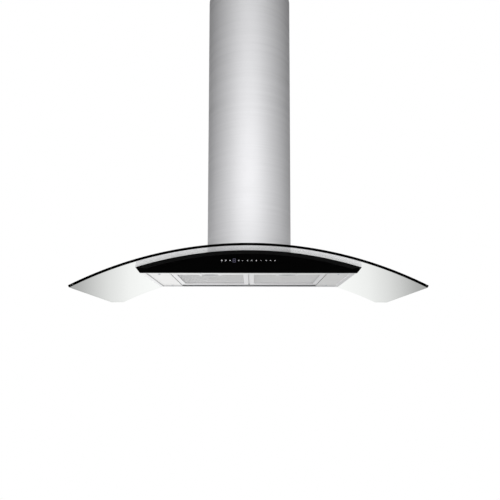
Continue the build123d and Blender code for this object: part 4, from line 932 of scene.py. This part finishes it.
@dataclass
class GlassCanopy:
    """The bent glass, notched for the chimney, with its black front edge.

    Attributes:
        corner: radius of the two front corners.
        clip_side: how far the rear corners are cut off along the sides.
        clip_back: how far they are cut off along the rear.
        notch: half width of the notch round the chimney.
        plug_half: half height of the plug that cuts the notch.
        plug_back: how far that plug's rear is drawn back.
        arris: width of the ground edge.
        sharp: edges sharper than this are ground, in degrees.
        holding: distance of the cuts that hold the shading flat from the glass's edges.
        lip: how far the black print of the edge reaches under the glass.
        band_front: half width of the band of grey dots at the front edge.
        band_rear: its half width at the fascia.
        forward: Y of a normal below which a face belongs to the front edge.
        down: Z of a normal below which a face belongs to the underside.
        sides: flat faces that the whole circle of the bend would have.
    """

    corner: float = 6 * MM
    clip_side: float = 90 * MM
    clip_back: float = 18 * MM
    notch: float = 121 * MM
    plug_half: float = 100 * MM
    plug_back: float = 300 * MM
    arris: float = 0.7 * MM
    sharp: float = 50
    holding: float = 7 * MM
    lip: float = 3 * MM
    band_front: float = 282 * MM
    band_rear: float = 296 * MM
    forward: float = -0.3
    down: float = -0.6
    sides: int = 1256

    def build(self) -> Object:
        """Model the glass and place it.

        Returns:
            The piece.
        """
        low, high = GLASS_BOX
        glass = self.bent_sheet(low, high)
        self.trim_corners(glass, high)
        Bench.modify(glass, "SOLIDIFY", thickness=GLASS_THICK, offset=-1.0)
        Bench.score(glass, self.holding_cuts(low, high) + self.band_cuts(low))
        levels = (high.z - self.plug_half, high.z + self.plug_half)
        Bench.cut(glass, Bench.stadium("notch_plug", self.notch, *levels, self.plug_back))
        self.round_front_corners(glass, low)
        Bench.score(glass, [(Vector((0, low.y + self.lip, 0)), Vector((0, 1, 0)))])
        Bench.break_edges(glass, self.arris, self.sharp)
        finishes = [CANOPY_GLASS, EDGE_BLACK, BAND_GREY]
        piece = place_piece(glass, "hood", finishes, ("glass_canopy",))
        for face in piece.data.polygons:
            face.material_index = self.finish_of(face, low)
        return piece

    def finish_of(self, face: MeshPolygon, low: Vector) -> int:
        """Say which finish a face has.

        Args:
            face: the face.
            low: lowest corner of the glass.

        Returns:
            0 for clear glass, 1 for the black edge and 2 for the grey dots.
        """
        under_lip = face.center.y < low.y + self.lip and face.normal.z < 0
        at_front = face.center.y < low.y + self.corner
        if under_lip or at_front and face.normal.y < self.forward and face.normal.z > self.down:
            return 1
        depth = self.band_depth(low)
        lean = self.band_rear - self.band_front
        reach = self.band_front + lean * (face.center.y - low.y) / depth
        inside = face.center.y < low.y + depth and abs(face.center.x) < reach
        return 2 if inside and face.normal.z < self.down else 0

    def band_depth(self, low: Vector) -> float:
        """Return how far the glass stands out before the fascia."""
        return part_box("fascia_glass")[0].y - low.y

    def holding_cuts(self, low: Vector, high: Vector) -> list[tuple[Vector, Vector]]:
        """Place the cuts that hold the shading flat.

        Args:
            low: lowest corner of the glass.
            high: highest corner of the glass.

        Returns:
            A point and a normal for each cut.
        """
        sides = [(Vector((side * (high.x - self.holding), 0, 0)), Vector((1, 0, 0))) for side in (-1, 1)]
        return [(Vector((0, low.y + self.holding, 0)), Vector((0, 1, 0)))] + sides

    def band_cuts(self, low: Vector) -> list[tuple[Vector, Vector]]:
        """Place the cuts round the band of grey dots.

        Args:
            low: lowest corner of the glass.

        Returns:
            A point and a normal for each cut.
        """
        depth = self.band_depth(low)
        lean = self.band_rear - self.band_front
        ends = [
            (Vector((side * self.band_front, low.y, 0)), Vector((side * depth, -lean, 0))) for side in (-1, 1)
        ]
        return [(Vector((0, low.y + depth, 0)), Vector((0, 1, 0)))] + ends

    def bent_sheet(self, low: Vector, high: Vector) -> Object:
        """Take the canopy's strip out of a fine open cylinder.

        Args:
            low: lowest corner of the glass.
            high: highest corner of the glass.

        Returns:
            The bent sheet, without thickness.
        """
        middle = (0, (low.y + high.y) / 2, BEND_Z)
        sheet = Bench.primitive(
            "cylinder", "canopy_glass", vertices=self.sides, radius=BEND_RADIUS, depth=high.y - low.y,
            end_fill_type="NOTHING", location=middle, rotation=(math.pi / 2, 0, 0),
        )
        spare = 2 * math.pi * BEND_RADIUS / self.sides
        with Bench.editing(sheet):
            Bench.pick_faces(sheet, lambda at, normal: abs(at.x) > high.x + spare or at.z < BEND_Z)
            bpy.ops.mesh.delete(type="FACE")
            for side in (-1, 1):
                Bench.bisect((side * high.x, 0, 0), (side, 0, 0), drop=True)
        return sheet

    def trim_corners(self, sheet: Object, high: Vector) -> None:
        """Cut the two rear corners off at a slant.

        Args:
            sheet: the bent sheet.
            high: highest corner of the glass.
        """
        with Bench.editing(sheet):
            for side in (-1, 1):
                place = (side * high.x, high.y - self.clip_side, 0)
                Bench.bisect(place, (side * self.clip_side, self.clip_back, 0), drop=True)

    def round_front_corners(self, glass: Object, low: Vector) -> None:
        """Round the two upright edges at the front corners.

        Args:
            glass: the sheet with its thickness.
            low: lowest corner of the glass.
        """
        near_side = -low.x - 3 * GLASS_THICK
        nearly_thick = 0.9 * GLASS_THICK

        def upright(start: Vector, end: Vector) -> bool:
            """True for an edge through the thickness at a front corner."""
            at_corner = min(abs(start.x), abs(end.x)) > near_side and max(start.y, end.y) < low.y + MM
            return at_corner and (start - end).length > nearly_thick

        with Bench.editing(glass):
            Bench.pick_edges(glass, upright)
            bpy.ops.mesh.bevel(offset=self.corner, segments=5, affect="EDGES")


@dataclass
class ChimneyCover:
    """One D-shaped sheet cover of the chimney, open at the wall but for its two lips.

    Attributes:
        node: the CAD node that it stands for.
        body: the body that it rides on.
        scribed: whether its foot follows the glass.
        lip: width of the lips.
        sheet: thickness of the sheet.
        fold: radius of the folds at the lips.
        spare: how far a scribed foot is drawn down before it is cut to the glass.
        gap: gap between a scribed foot and the glass.
        arris: width of the broken edge.
        sharp: edges sharper than this are broken, in degrees.
        sides: flat faces that the whole circle of the front would have.
    """

    node: str
    body: str
    scribed: bool = False
    lip: float = 15 * MM
    sheet: float = 1 * MM
    fold: float = 2.2 * MM
    spare: float = 20 * MM
    gap: float = 0.3 * MM
    arris: float = 0.2 * MM
    sharp: float = 60
    sides: int = 256

    def build(self) -> Object:
        """Model the cover and place it.

        Returns:
            The piece.
        """
        low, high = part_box(self.node)
        cover = self.round_front(low, high)
        self.draw_sides(cover, high)
        Bench.modify(cover, "SOLIDIFY", thickness=self.sheet, offset=-1.0, use_even_offset=True)
        if self.scribed:
            Bench.cut(cover, Bench.bend("scribe", BEND_RADIUS + self.gap))
        Bench.break_edges(cover, self.arris, self.sharp, segments=1)
        return place_piece(cover, self.body, [CHIMNEY_STEEL], (self.node,))

    def round_front(self, low: Vector, high: Vector) -> Object:
        """Take the round front out of an open cylinder.

        Args:
            low: lowest corner of the cover.
            high: highest corner of the cover.

        Returns:
            The half cylinder.
        """
        foot = low.z - self.spare if self.scribed else low.z
        middle = (0, ROUND_Y, (foot + high.z) / 2)
        front = Bench.primitive(
            "cylinder", f"{self.node}_sheet", vertices=self.sides, radius=high.x, depth=high.z - foot,
            end_fill_type="NOTHING", location=middle,
        )
        with Bench.editing(front):
            Bench.pick_faces(front, lambda at, normal: at.y > ROUND_Y)
            bpy.ops.mesh.delete(type="FACE")
        return front

    def draw_sides(self, cover: Object, high: Vector) -> None:
        """Draw the straight sides back to the wall, turn the lips in and round the folds.

        Args:
            cover: the half cylinder.
            high: highest corner of the cover.
        """
        for side in (-1, 1):
            self.draw_edge(cover, side, (0, high.y - ROUND_Y, 0))
            self.draw_edge(cover, side, (-side * self.lip, 0, 0))

        def at_fold(start: Vector, end: Vector) -> bool:
            """True for an upright edge between a side and its lip."""
            ends = [abs(spot.x) > high.x - NEAR and spot.y > high.y - NEAR for spot in (start, end)]
            return all(ends) and abs(start.z - end.z) > UPRIGHT

        with Bench.editing(cover):
            Bench.pick_edges(cover, at_fold)
            bpy.ops.mesh.bevel(offset=self.fold, segments=4, affect="EDGES")

    def draw_edge(self, cover: Object, side: int, way: Place) -> None:
        """Draw the sheet's free upright edge out into a new face.

        Args:
            cover: the sheet.
            side: -1 for the edge on the left and 1 for the one on the right.
            way: how far the edge is drawn.
        """
        rear = max(vertex.co.y for vertex in cover.data.vertices if vertex.co.x * side > 0)

        def at_rear(start: Vector, end: Vector) -> bool:
            """True for the free edge."""
            rearmost = min(start.y, end.y) > rear - NEAR and start.x * side > 0
            return rearmost and abs(start.z - end.z) > UPRIGHT

        with Bench.editing(cover):
            Bench.pick_edges(cover, at_rear)
            bpy.ops.mesh.extrude_region_move(TRANSFORM_OT_translate={"value": way})


class Mark(Enum):
    """Generic touch marks, each made of strokes."""

    POWER = ("ring", "stem")
    CLOCK = ("ring", "hand")
    FAN = ("dot", "spokes")
    LESS = ("dash",)
    RISE = ("peak",)
    FALL = ("dip",)
    BARS = ("bars",)
    LIGHT = ("dot", "dash")


# Straight strokes on a grid of the mark's half height: across, up, length and turn in degrees of each bar
STROKE_BARS = {
    "stem": ((0, 0.6, 1.3, 0),),
    "hand": ((0, 0.2, 0.8, 0), (0.25, 0, 0.6, 90)),
    "spokes": ((0, 0, 1.7, 0), (0, 0, 1.7, 60), (0, 0, 1.7, 120)),
    "dash": ((0, -0.2, 1.7, 90),),
    "peak": ((-0.4, 0, 1.9, 24), (0.4, 0, 1.9, -24)),
    "dip": ((-0.4, 0, 1.9, -24), (0.4, 0, 1.9, 24)),
    "bars": ((-0.5, -0.15, 1.3, 0), (0, 0, 1.6, 0), (0.5, 0.15, 1.9, 0)),
}


@dataclass
class TouchFascia:
    """Black glass fascia with its printed marks and small display.

    Attributes:
        foot: half width at the lower edge.
        flare: lean of the two ends, in degrees.
        gap: gap between the fascia and the canopy over it.
        spare: how far the slab stands over the fascia before it is cut to the canopy.
        arris: width of the ground edge.
        sharp: edges sharper than this are ground, in degrees.
        line: height of the marks above the lower edge.
        tall: height of a mark.
        stroke_width: width of its strokes.
        dot: radius of a dot, as a share of a mark's half height.
        marks: place along X and kind of each mark, in millimetres.
        display_x: middle of the display.
        display: width and height of the display.
        display_line: width of the display's outline, as a share of the display's width.
        waist: half width and half height of the bar across its middle, as shares of that width.
        print_thick: how far the print stands on the glass.
    """

    foot: float = 284.3 * MM
    flare: float = 38.5
    gap: float = 0.5 * MM
    spare: float = 10 * MM
    arris: float = 0.5 * MM
    sharp: float = 40
    line: float = 33.2 * MM
    tall: float = 3.8 * MM
    stroke_width: float = 0.45 * MM
    dot: float = 0.4
    marks: tuple[tuple[float, Mark], ...] = (
        (-69.9, Mark.POWER), (-59.5, Mark.CLOCK), (-48.2, Mark.FAN), (-25.8, Mark.BARS),
        (-15.8, Mark.LESS), (-3.0, Mark.FALL), (8.2, Mark.RISE), (20.4, Mark.BARS),
        (32.7, Mark.LESS), (46.1, Mark.LIGHT), (57.5, Mark.LIGHT), (69.2, Mark.RISE),
    )
    display_x: float = -37.5 * MM
    display: tuple[float, float] = (7.4 * MM, 10 * MM)
    display_line: float = 0.16
    waist: tuple[float, float] = (0.4, 0.08)
    print_thick: float = 0.04 * MM

    def build(self) -> list[Object]:
        """Model the glass, its marks and its display.

        Returns:
            The pieces.
        """
        return [self.glass(), self.print_marks(), self.show_display()]

    def glass(self) -> Object:
        """Model the black glass: a slab with leaning ends, crossed with the canopy's bend.

        Returns:
            The piece.
        """
        low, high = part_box("fascia_glass")
        crown = high.z + self.spare
        slab = Bench.block("fascia_black_glass", low, Vector((high.x, high.y, crown)))
        reach = self.foot + (crown - low.z) * math.tan(math.radians(self.flare))
        with Bench.editing(slab):
            for level, half in ((-1, self.foot), (1, reach)):
                Bench.pick_faces(slab, lambda at, normal: normal.z * level > FACING)
                bpy.ops.transform.resize(value=(half / high.x, 1, 1), center_override=(0, low.y, low.z))
        underside = BEND_RADIUS - GLASS_THICK - self.gap
        Bench.cut(slab, Bench.bend("canopy_underside", underside), "INTERSECT")
        Bench.break_edges(slab, self.arris, self.sharp)
        return place_piece(slab, "hood", [FASCIA_GLASS], ("fascia_glass",))

    def on_line(self, x: float) -> Vector:
        """Return the middle of the print at X on the line of marks."""
        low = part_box("fascia_glass")[0]
        return Vector((x, low.y - self.print_thick / 2, low.z + self.line))

    def print_marks(self) -> Object:
        """Print the touch marks on the glass.

        Returns:
            The marks, as one piece.
        """
        strokes = []
        for x, mark in self.marks:
            for kind in mark.value:
                strokes += self.stroke(kind, self.on_line(x * MM))
        marks = Bench.join(strokes, "touch_marks")
        return place_piece(marks, "hood", [MARK_WHITE])

    def stroke(self, kind: str, centre: Vector) -> list[Object]:
        """Model one stroke of a mark as thin print.

        Args:
            kind: the stroke's name.
            centre: middle of the mark.

        Returns:
            The stroke's meshes.
        """
        half = self.tall / 2
        if kind == "ring":
            return [self.ring(centre, half)]
        if kind == "dot":
            facing = (math.pi / 2, 0, 0)
            size = {"radius": half * self.dot, "depth": self.print_thick}
            return [Bench.primitive("cylinder", "dot", vertices=16, location=centre, rotation=facing, **size)]
        bars = []
        for across, up, length, turn in STROKE_BARS[kind]:
            place = centre + Vector((across * half, 0, up * half))
            turned = (0, math.radians(turn), 0)
            size = (self.stroke_width, self.print_thick, length * half)
            bars.append(Bench.primitive("cube", "bar", size=1, location=place, rotation=turned, scale=size))
        return bars

    def ring(self, centre: Vector, half: float) -> Object:
        """Model a ring of print: a torus pressed flat.

        Args:
            centre: middle of the mark.
            half: radius of the ring.

        Returns:
            The ring.
        """
        wide = self.stroke_width
        ring = Bench.primitive(
            "torus", "ring", location=centre, rotation=(math.pi / 2, 0, 0), major_segments=24,
            minor_segments=6, major_radius=half - wide / 2, minor_radius=wide / 2,
        )
        with Bench.editing(ring):
            bpy.ops.mesh.select_all(action="SELECT")
            bpy.ops.transform.resize(value=(1, self.print_thick / wide, 1), center_override=centre)
        return ring

    def show_display(self) -> Object:
        """Model the display's outline of one digit, which has a painted glow, on the line of marks.

        Returns:
            The piece.
        """
        wide, tall = self.display
        centre = self.on_line(self.display_x)
        half = Vector((wide / 2, self.print_thick / 2, tall / 2))
        digit = Bench.block("display_digit", centre - half, centre + half)
        with Bench.editing(digit):
            Bench.pick_faces(digit, lambda at, normal: abs(normal.y) > FACING)
            bpy.ops.mesh.inset(thickness=wide * self.display_line)
            bpy.ops.mesh.bridge_edge_loops()
        across, up = (wide * share for share in self.waist)
        waist = Vector((across, self.print_thick / 2, up))
        Bench.cut(digit, Bench.block("waist", centre - waist, centre + waist), "UNION")
        return place_piece(digit, "hood", [DISPLAY_BLUE])


@dataclass
class FilterNet:
    """Expanded aluminium net on the underside of one grease filter, folded like the core.

    Attributes:
        side: -1 for the left filter and 1 for the right one.
        long_way: length of an opening, across the folds.
        short_way: width of an opening.
        strand: width of a strand.
        thick: thickness of the net.
        fold: pitch of the folds.
        swing: half height of the folds.
        below: how far the net lies under the middle of the frame.
        rim: width of the filter's frame at its front and sides.
        rear: width of the frame at its rear.
        boss: half width and depth of the latch's boss.
    """

    side: int
    long_way: float = 9 * MM
    short_way: float = 4.6 * MM
    strand: float = 0.8 * MM
    thick: float = 0.4 * MM
    fold: float = 10 * MM
    swing: float = 1.0 * MM
    below: float = 1.7 * MM
    rim: float = 13.4 * MM
    rear: float = 29.4 * MM
    boss: tuple[float, float] = (30.6 * MM, 34.8 * MM)

    def build(self) -> Object:
        """Model the net and place it.

        Returns:
            The piece.
        """
        word = "left" if self.side < 0 else "right"
        low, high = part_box(f"filter_frame_{word}")
        room = (Vector((low.x + self.rim, low.y + self.rim)), Vector((high.x - self.rim, high.y - self.rear)))
        net = self.diamonds(room, f"filter_net_{word}")
        self.trim(net, room, low)
        with Bench.editing(net):
            bpy.ops.mesh.select_all(action="SELECT")
            bpy.ops.mesh.inset(thickness=self.strand / 2, use_individual=True)
            bpy.ops.mesh.delete(type="FACE")
        self.fold_up(net, (low.z + high.z) / 2, room)
        Bench.modify(net, "SOLIDIFY", thickness=self.thick, offset=0.0)
        return place_piece(net, f"filter_{word}", [FILTER_MESH])

    def diamonds(self, room: tuple[Vector, Vector], name: str) -> Object:
        """Lay a grid, turned by an eighth and squeezed so that its cells are diamonds.

        Args:
            room: corners of the net's rectangle.
            name: the net's name.

        Returns:
            The flat grid, larger than the rectangle.
        """
        size = room[1] - room[0]
        spare_cells = 2
        cells = math.ceil(size.x / self.long_way + size.y / self.short_way) + spare_cells
        middle = (room[0] + room[1]) / 2
        grid = Bench.primitive(
            "grid", name, x_subdivisions=cells, y_subdivisions=cells, size=cells / math.sqrt(2),
            rotation=(0, 0, math.pi / 4),
        )
        with Bench.editing(grid):
            bpy.ops.mesh.select_all(action="SELECT")
            bpy.ops.transform.resize(value=(self.long_way, self.short_way, 1), center_override=(0, 0, 0))
            bpy.ops.transform.translate(value=(middle.x, middle.y, 0))
        return grid

    def trim(self, net: Object, room: tuple[Vector, Vector], low: Vector) -> None:
        """Cut the grid to the frame's window and clear the latch's boss.

        Args:
            net: the flat grid.
            room: corners of the window.
            low: lowest corner of the filter's frame.
        """
        half, depth = self.boss
        middle = (room[0].x + room[1].x) / 2
        cuts = [((corner.x, 0, 0), (way, 0, 0)) for corner, way in zip(room, (-1, 1))]
        cuts += [((0, corner.y, 0), (0, way, 0)) for corner, way in zip(room, (-1, 1))]
        with Bench.editing(net):
            for place, normal in cuts:
                Bench.bisect(place, normal, drop=True)
            Bench.pick_faces(net, lambda at, normal: abs(at.x - middle) < half and at.y < low.y + depth)
            bpy.ops.mesh.delete(type="FACE")

    def fold_up(self, net: Object, level: float, room: tuple[Vector, Vector]) -> None:
        """Fold the net in step with the core, just under it.

        Args:
            net: the flat net.
            level: middle level of the frame.
            room: corners of the window.
        """
        for vertex in net.data.vertices:
            phase = (vertex.co.y - room[0].y) / self.fold
            wave = 1 - 4 * abs(phase - math.floor(phase + 0.5))
            vertex.co.z = level - self.below + self.swing * wave


@dataclass
class PanHeadScrews:
    """Pan-head screws with a cross recess, at the four corners of their CAD node's box.

    Attributes:
        node: the CAD node that they stand for.
        seat: level that the heads sit on, facing down.
        head: radius of the head.
        tall: height of the head.
        shank: radius of the shank.
        length: length of the shank.
        crown: how far down the head its rounding reaches, as a share of its height.
        deep: depth of the recess, as a share of the head's height.
        arm: length and width of the recess's arms, as shares of the head's radius.
    """

    node: str
    seat: float
    head: float = 3.6 * MM
    tall: float = 1.4 * MM
    shank: float = 1.6 * MM
    length: float = 9 * MM
    crown: float = 0.7
    deep: float = 0.6
    arm: tuple[float, float] = (1.1, 0.26)

    def build(self, body: str) -> Object:
        """Model one screw, copy it to each place and place the set.

        Args:
            body: the body that they ride on.

        Returns:
            The screws, as one piece.
        """
        first = self.model()
        low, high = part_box(self.node)
        columns = (low.x + self.head, high.x - self.head)
        rows = (low.y + self.head, high.y - self.head)
        copies = []
        for x, y in itertools.product(columns, rows):
            copy = first.copy()
            copy.data = first.data.copy()
            bpy.context.collection.objects.link(copy)
            copy.data.transform(Matrix.Translation((x, y, self.seat)) @ Matrix.Rotation(math.pi, 4, "X"))
            copies.append(copy)
        bpy.data.objects.remove(first, do_unlink=True)
        screws = Bench.join(copies, f"{self.node}_modelled")
        return place_piece(screws, body, [ZINC_PLATE], (self.node,))

    def model(self) -> Object:
        """Model one screw on the origin, head up.

        Returns:
            The screw.
        """
        size = {"vertices": 32, "radius": self.head, "depth": self.tall}
        head = Bench.primitive("cylinder", "screw", location=(0, 0, self.tall / 2), **size)
        with Bench.editing(head):
            Bench.pick_edges(head, lambda start, end: min(start.z, end.z) > self.tall - NEAR)
            bpy.ops.mesh.bevel(offset=self.tall * self.crown, segments=4, affect="EDGES")
            Bench.pick_faces(head, lambda at, normal: normal.z < -FACING)
            bpy.ops.mesh.inset(thickness=self.head - self.shank)
            bpy.ops.mesh.extrude_region_move(TRANSFORM_OT_translate={"value": (0, 0, -self.length)})
        long, wide = (self.head * share for share in self.arm)
        deep = self.tall * self.deep
        for turn in (0, math.pi / 2):
            place = {"location": (0, 0, self.tall), "rotation": (0, 0, turn)}
            slot = Bench.primitive("cube", "recess", size=1, scale=(long, wide, 2 * deep), **place)
            Bench.cut(head, slot)
        return head


# Brightness of the studio by height in degrees, before the hood and behind it
FRONT_BANDS = (
    (-90, 1.2), (-20, 1.0), (0, 0.9), (6.8, 0.9), (7.6, 0.02), (10.9, 0.02), (11.5, 2.6), (17, 1.95),
    (24, 1.5), (36, 1.2), (90, 0.8),
)
REAR_BANDS = (
    (-90, 0.9), (-26, 0.6), (-14, 1.0), (-2, 1.2), (6, 0.5), (16, 0.3), (26, 0.24), (40, 0.08), (90, 0.4),
)
# Share of the rear's brightness by place from front to rear
SIDE_BLEND = ((0.0, 0.0), (0.06, 0.2), (0.168, 0.45), (0.36, 0.65), (0.627, 0.82), (0.79, 0.94), (1.0, 1.0))
# Brightness from left to right low down, and how far it holds by height in degrees
LOW_SIDES = ((0.0, 1.22), (0.44, 1.2), (0.5, 0.95), (0.54, 0.74), (0.6, 0.62), (1.0, 0.58))
LOW_SHARE = ((-90, 1.0), (-6, 1.0), (0, 0.0), (90, 0.0))


def by_height(bands: Stops) -> Stops:
    """Turn heights in degrees into places from 0 to 1 over the sky's height."""
    return tuple(((math.sin(math.radians(angle)) + 1) / 2, grey) for angle, grey in bands)


@dataclass
class Studio:
    """Camera, floor and soft light.

    Attributes:
        eye: the camera's place.
        pitch: how far the camera looks up, in degrees.
        roll: how far the camera leans to its left, in degrees.
        lens: focal length, in millimetres.
        sensor: width of the sensor, in millimetres.
        shift: how far the frame is moved over the lens, as shares of its width.
        clip: nearest and farthest that the camera sees.
        floor_z: level of the floor.
        floor_half: half width of the floor.
    """

    eye: tuple[float, float, float] = (8.5 * MM, -1825.7 * MM, -431.2 * MM)
    pitch: float = 5.0
    roll: float = 0.05
    lens: float = 38.57
    sensor: float = 36.0
    shift: tuple[float, float] = (-0.0034, 0.1088)
    clip: tuple[float, float] = (0.05, 60.0)
    floor_z: float = -1.75
    floor_half: float = 2.2

    def build(self) -> None:
        """Set up the whole studio."""
        self.add_camera()
        self.add_floor()
        self.add_world()
        bpy.context.scene.view_settings.view_transform = "Standard"
        LOG.info("studio: camera at %s, lens %.1f mm", self.eye, self.lens)

    def add_camera(self) -> None:
        """Add the camera at the photograph's angle."""
        data = bpy.data.cameras.new("camera")
        camera = bpy.data.objects.new("camera", data)
        bpy.context.collection.objects.link(camera)
        camera.location = self.eye
        camera.rotation_euler = (math.radians(90 + self.pitch), -math.radians(self.roll), 0)
        data.lens = self.lens
        data.sensor_width = self.sensor
        data.shift_x, data.shift_y = self.shift
        data.clip_start, data.clip_end = self.clip
        bpy.context.scene.camera = camera

    def add_floor(self) -> None:
        """Add the pale floor far below the hood."""
        floor = Bench.primitive("plane", "floor", size=2 * self.floor_half, location=(0, 0, self.floor_z))
        floor.data.materials.append(FLOOR_WHITE.material())

    def add_world(self) -> None:
        """Surround the hood with soft light: white behind it, and broad bands of light and shade."""
        world = bpy.data.worlds.new("soft_studio")
        bpy.context.scene.world = world
        world.use_nodes = True
        tree = world.node_tree
        tree.nodes.clear()
        lit = self.light_bands(tree)
        soft = add_node(tree, "ShaderNodeBackground", {"Color": lit, "Strength": 1.0})
        white = add_node(tree, "ShaderNodeBackground", {"Color": (1, 1, 1, 1), "Strength": 1.0})
        path = add_node(tree, "ShaderNodeLightPath")
        inputs = {0: path.outputs["Is Camera Ray"], 1: soft.outputs[0], 2: white.outputs[0]}
        both = add_node(tree, "ShaderNodeMixShader", inputs)
        add_node(tree, "ShaderNodeOutputWorld", {"Surface": both.outputs["Shader"]})

    def light_bands(self, tree: NodeTree) -> NodeSocket:
        """Grade the sky by height, from front to rear, and from left to right low down.

        Args:
            tree: the world's nodes.

        Returns:
            The sky's grey.
        """
        way = add_node(tree, "ShaderNodeTexCoord")
        split = add_node(tree, "ShaderNodeSeparateXYZ", {"Vector": way.outputs["Generated"]})
        bands = {
            "blend": ("Y", SIDE_BLEND),
            "front": ("Z", by_height(FRONT_BANDS)),
            "rear": ("Z", by_height(REAR_BANDS)),
            "sides": ("X", LOW_SIDES),
            "low": ("Z", by_height(LOW_SHARE)),
        }
        grey = {}
        for name, (axis, stops) in bands.items():
            inputs = {"Value": split.outputs[axis], "From Min": -1.0, "From Max": 1.0}
            place = add_node(tree, "ShaderNodeMapRange", inputs).outputs["Result"]
            grey[name] = add_node(tree, "ShaderNodeValToRGB", {"Fac": place}, stops=stops).outputs["Color"]
        mix = add_node(tree, "ShaderNodeMix", {0: grey["blend"]}, data_type="RGBA")
        first, second = (socket for socket in mix.inputs if socket.type == "RGBA")
        tree.links.new(grey["front"], first)
        tree.links.new(grey["rear"], second)
        mixed = [socket for socket in mix.outputs if socket.type == "RGBA"][0]
        inputs = {0: grey["low"], 2: 1.0, 3: grey["sides"]}
        gain = add_node(tree, "ShaderNodeMix", inputs, data_type="FLOAT").outputs[0]
        lit = add_node(tree, "ShaderNodeVectorMath", {0: mixed, "Scale": gain}, operation="SCALE")
        return lit.outputs["Vector"]


def dress_nodes() -> None:
    """Give each CAD node the finish of its kind."""
    slots = {part["node"]: part["material_slot"] for part in frame["record"]["subparts"]}
    for name, node in frame["nodes"].items():
        finish = NODE_FINISH.get(name) or SLOT_FINISH[slots[name]]
        for slot in node.material_slots:
            slot.material = finish.material()
    LOG.info("dressed %d CAD nodes", len(frame["nodes"]))


def main() -> None:
    """Build the studio and every piece, in order."""
    logging.basicConfig(level=logging.INFO, format="%(name)s: %(message)s")
    Studio().build()
    dress_nodes()
    GlassCanopy().build()
    ChimneyCover("lower_cover", "hood", scribed=True).build()
    ChimneyCover("upper_cover", "upper_chimney").build()
    TouchFascia().build()
    for side in (-1, 1):
        FilterNet(side).build()
    PanHeadScrews("panel_screws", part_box("underside_panel")[0].z).build("hood")


if __name__ == "__main__":
    main()
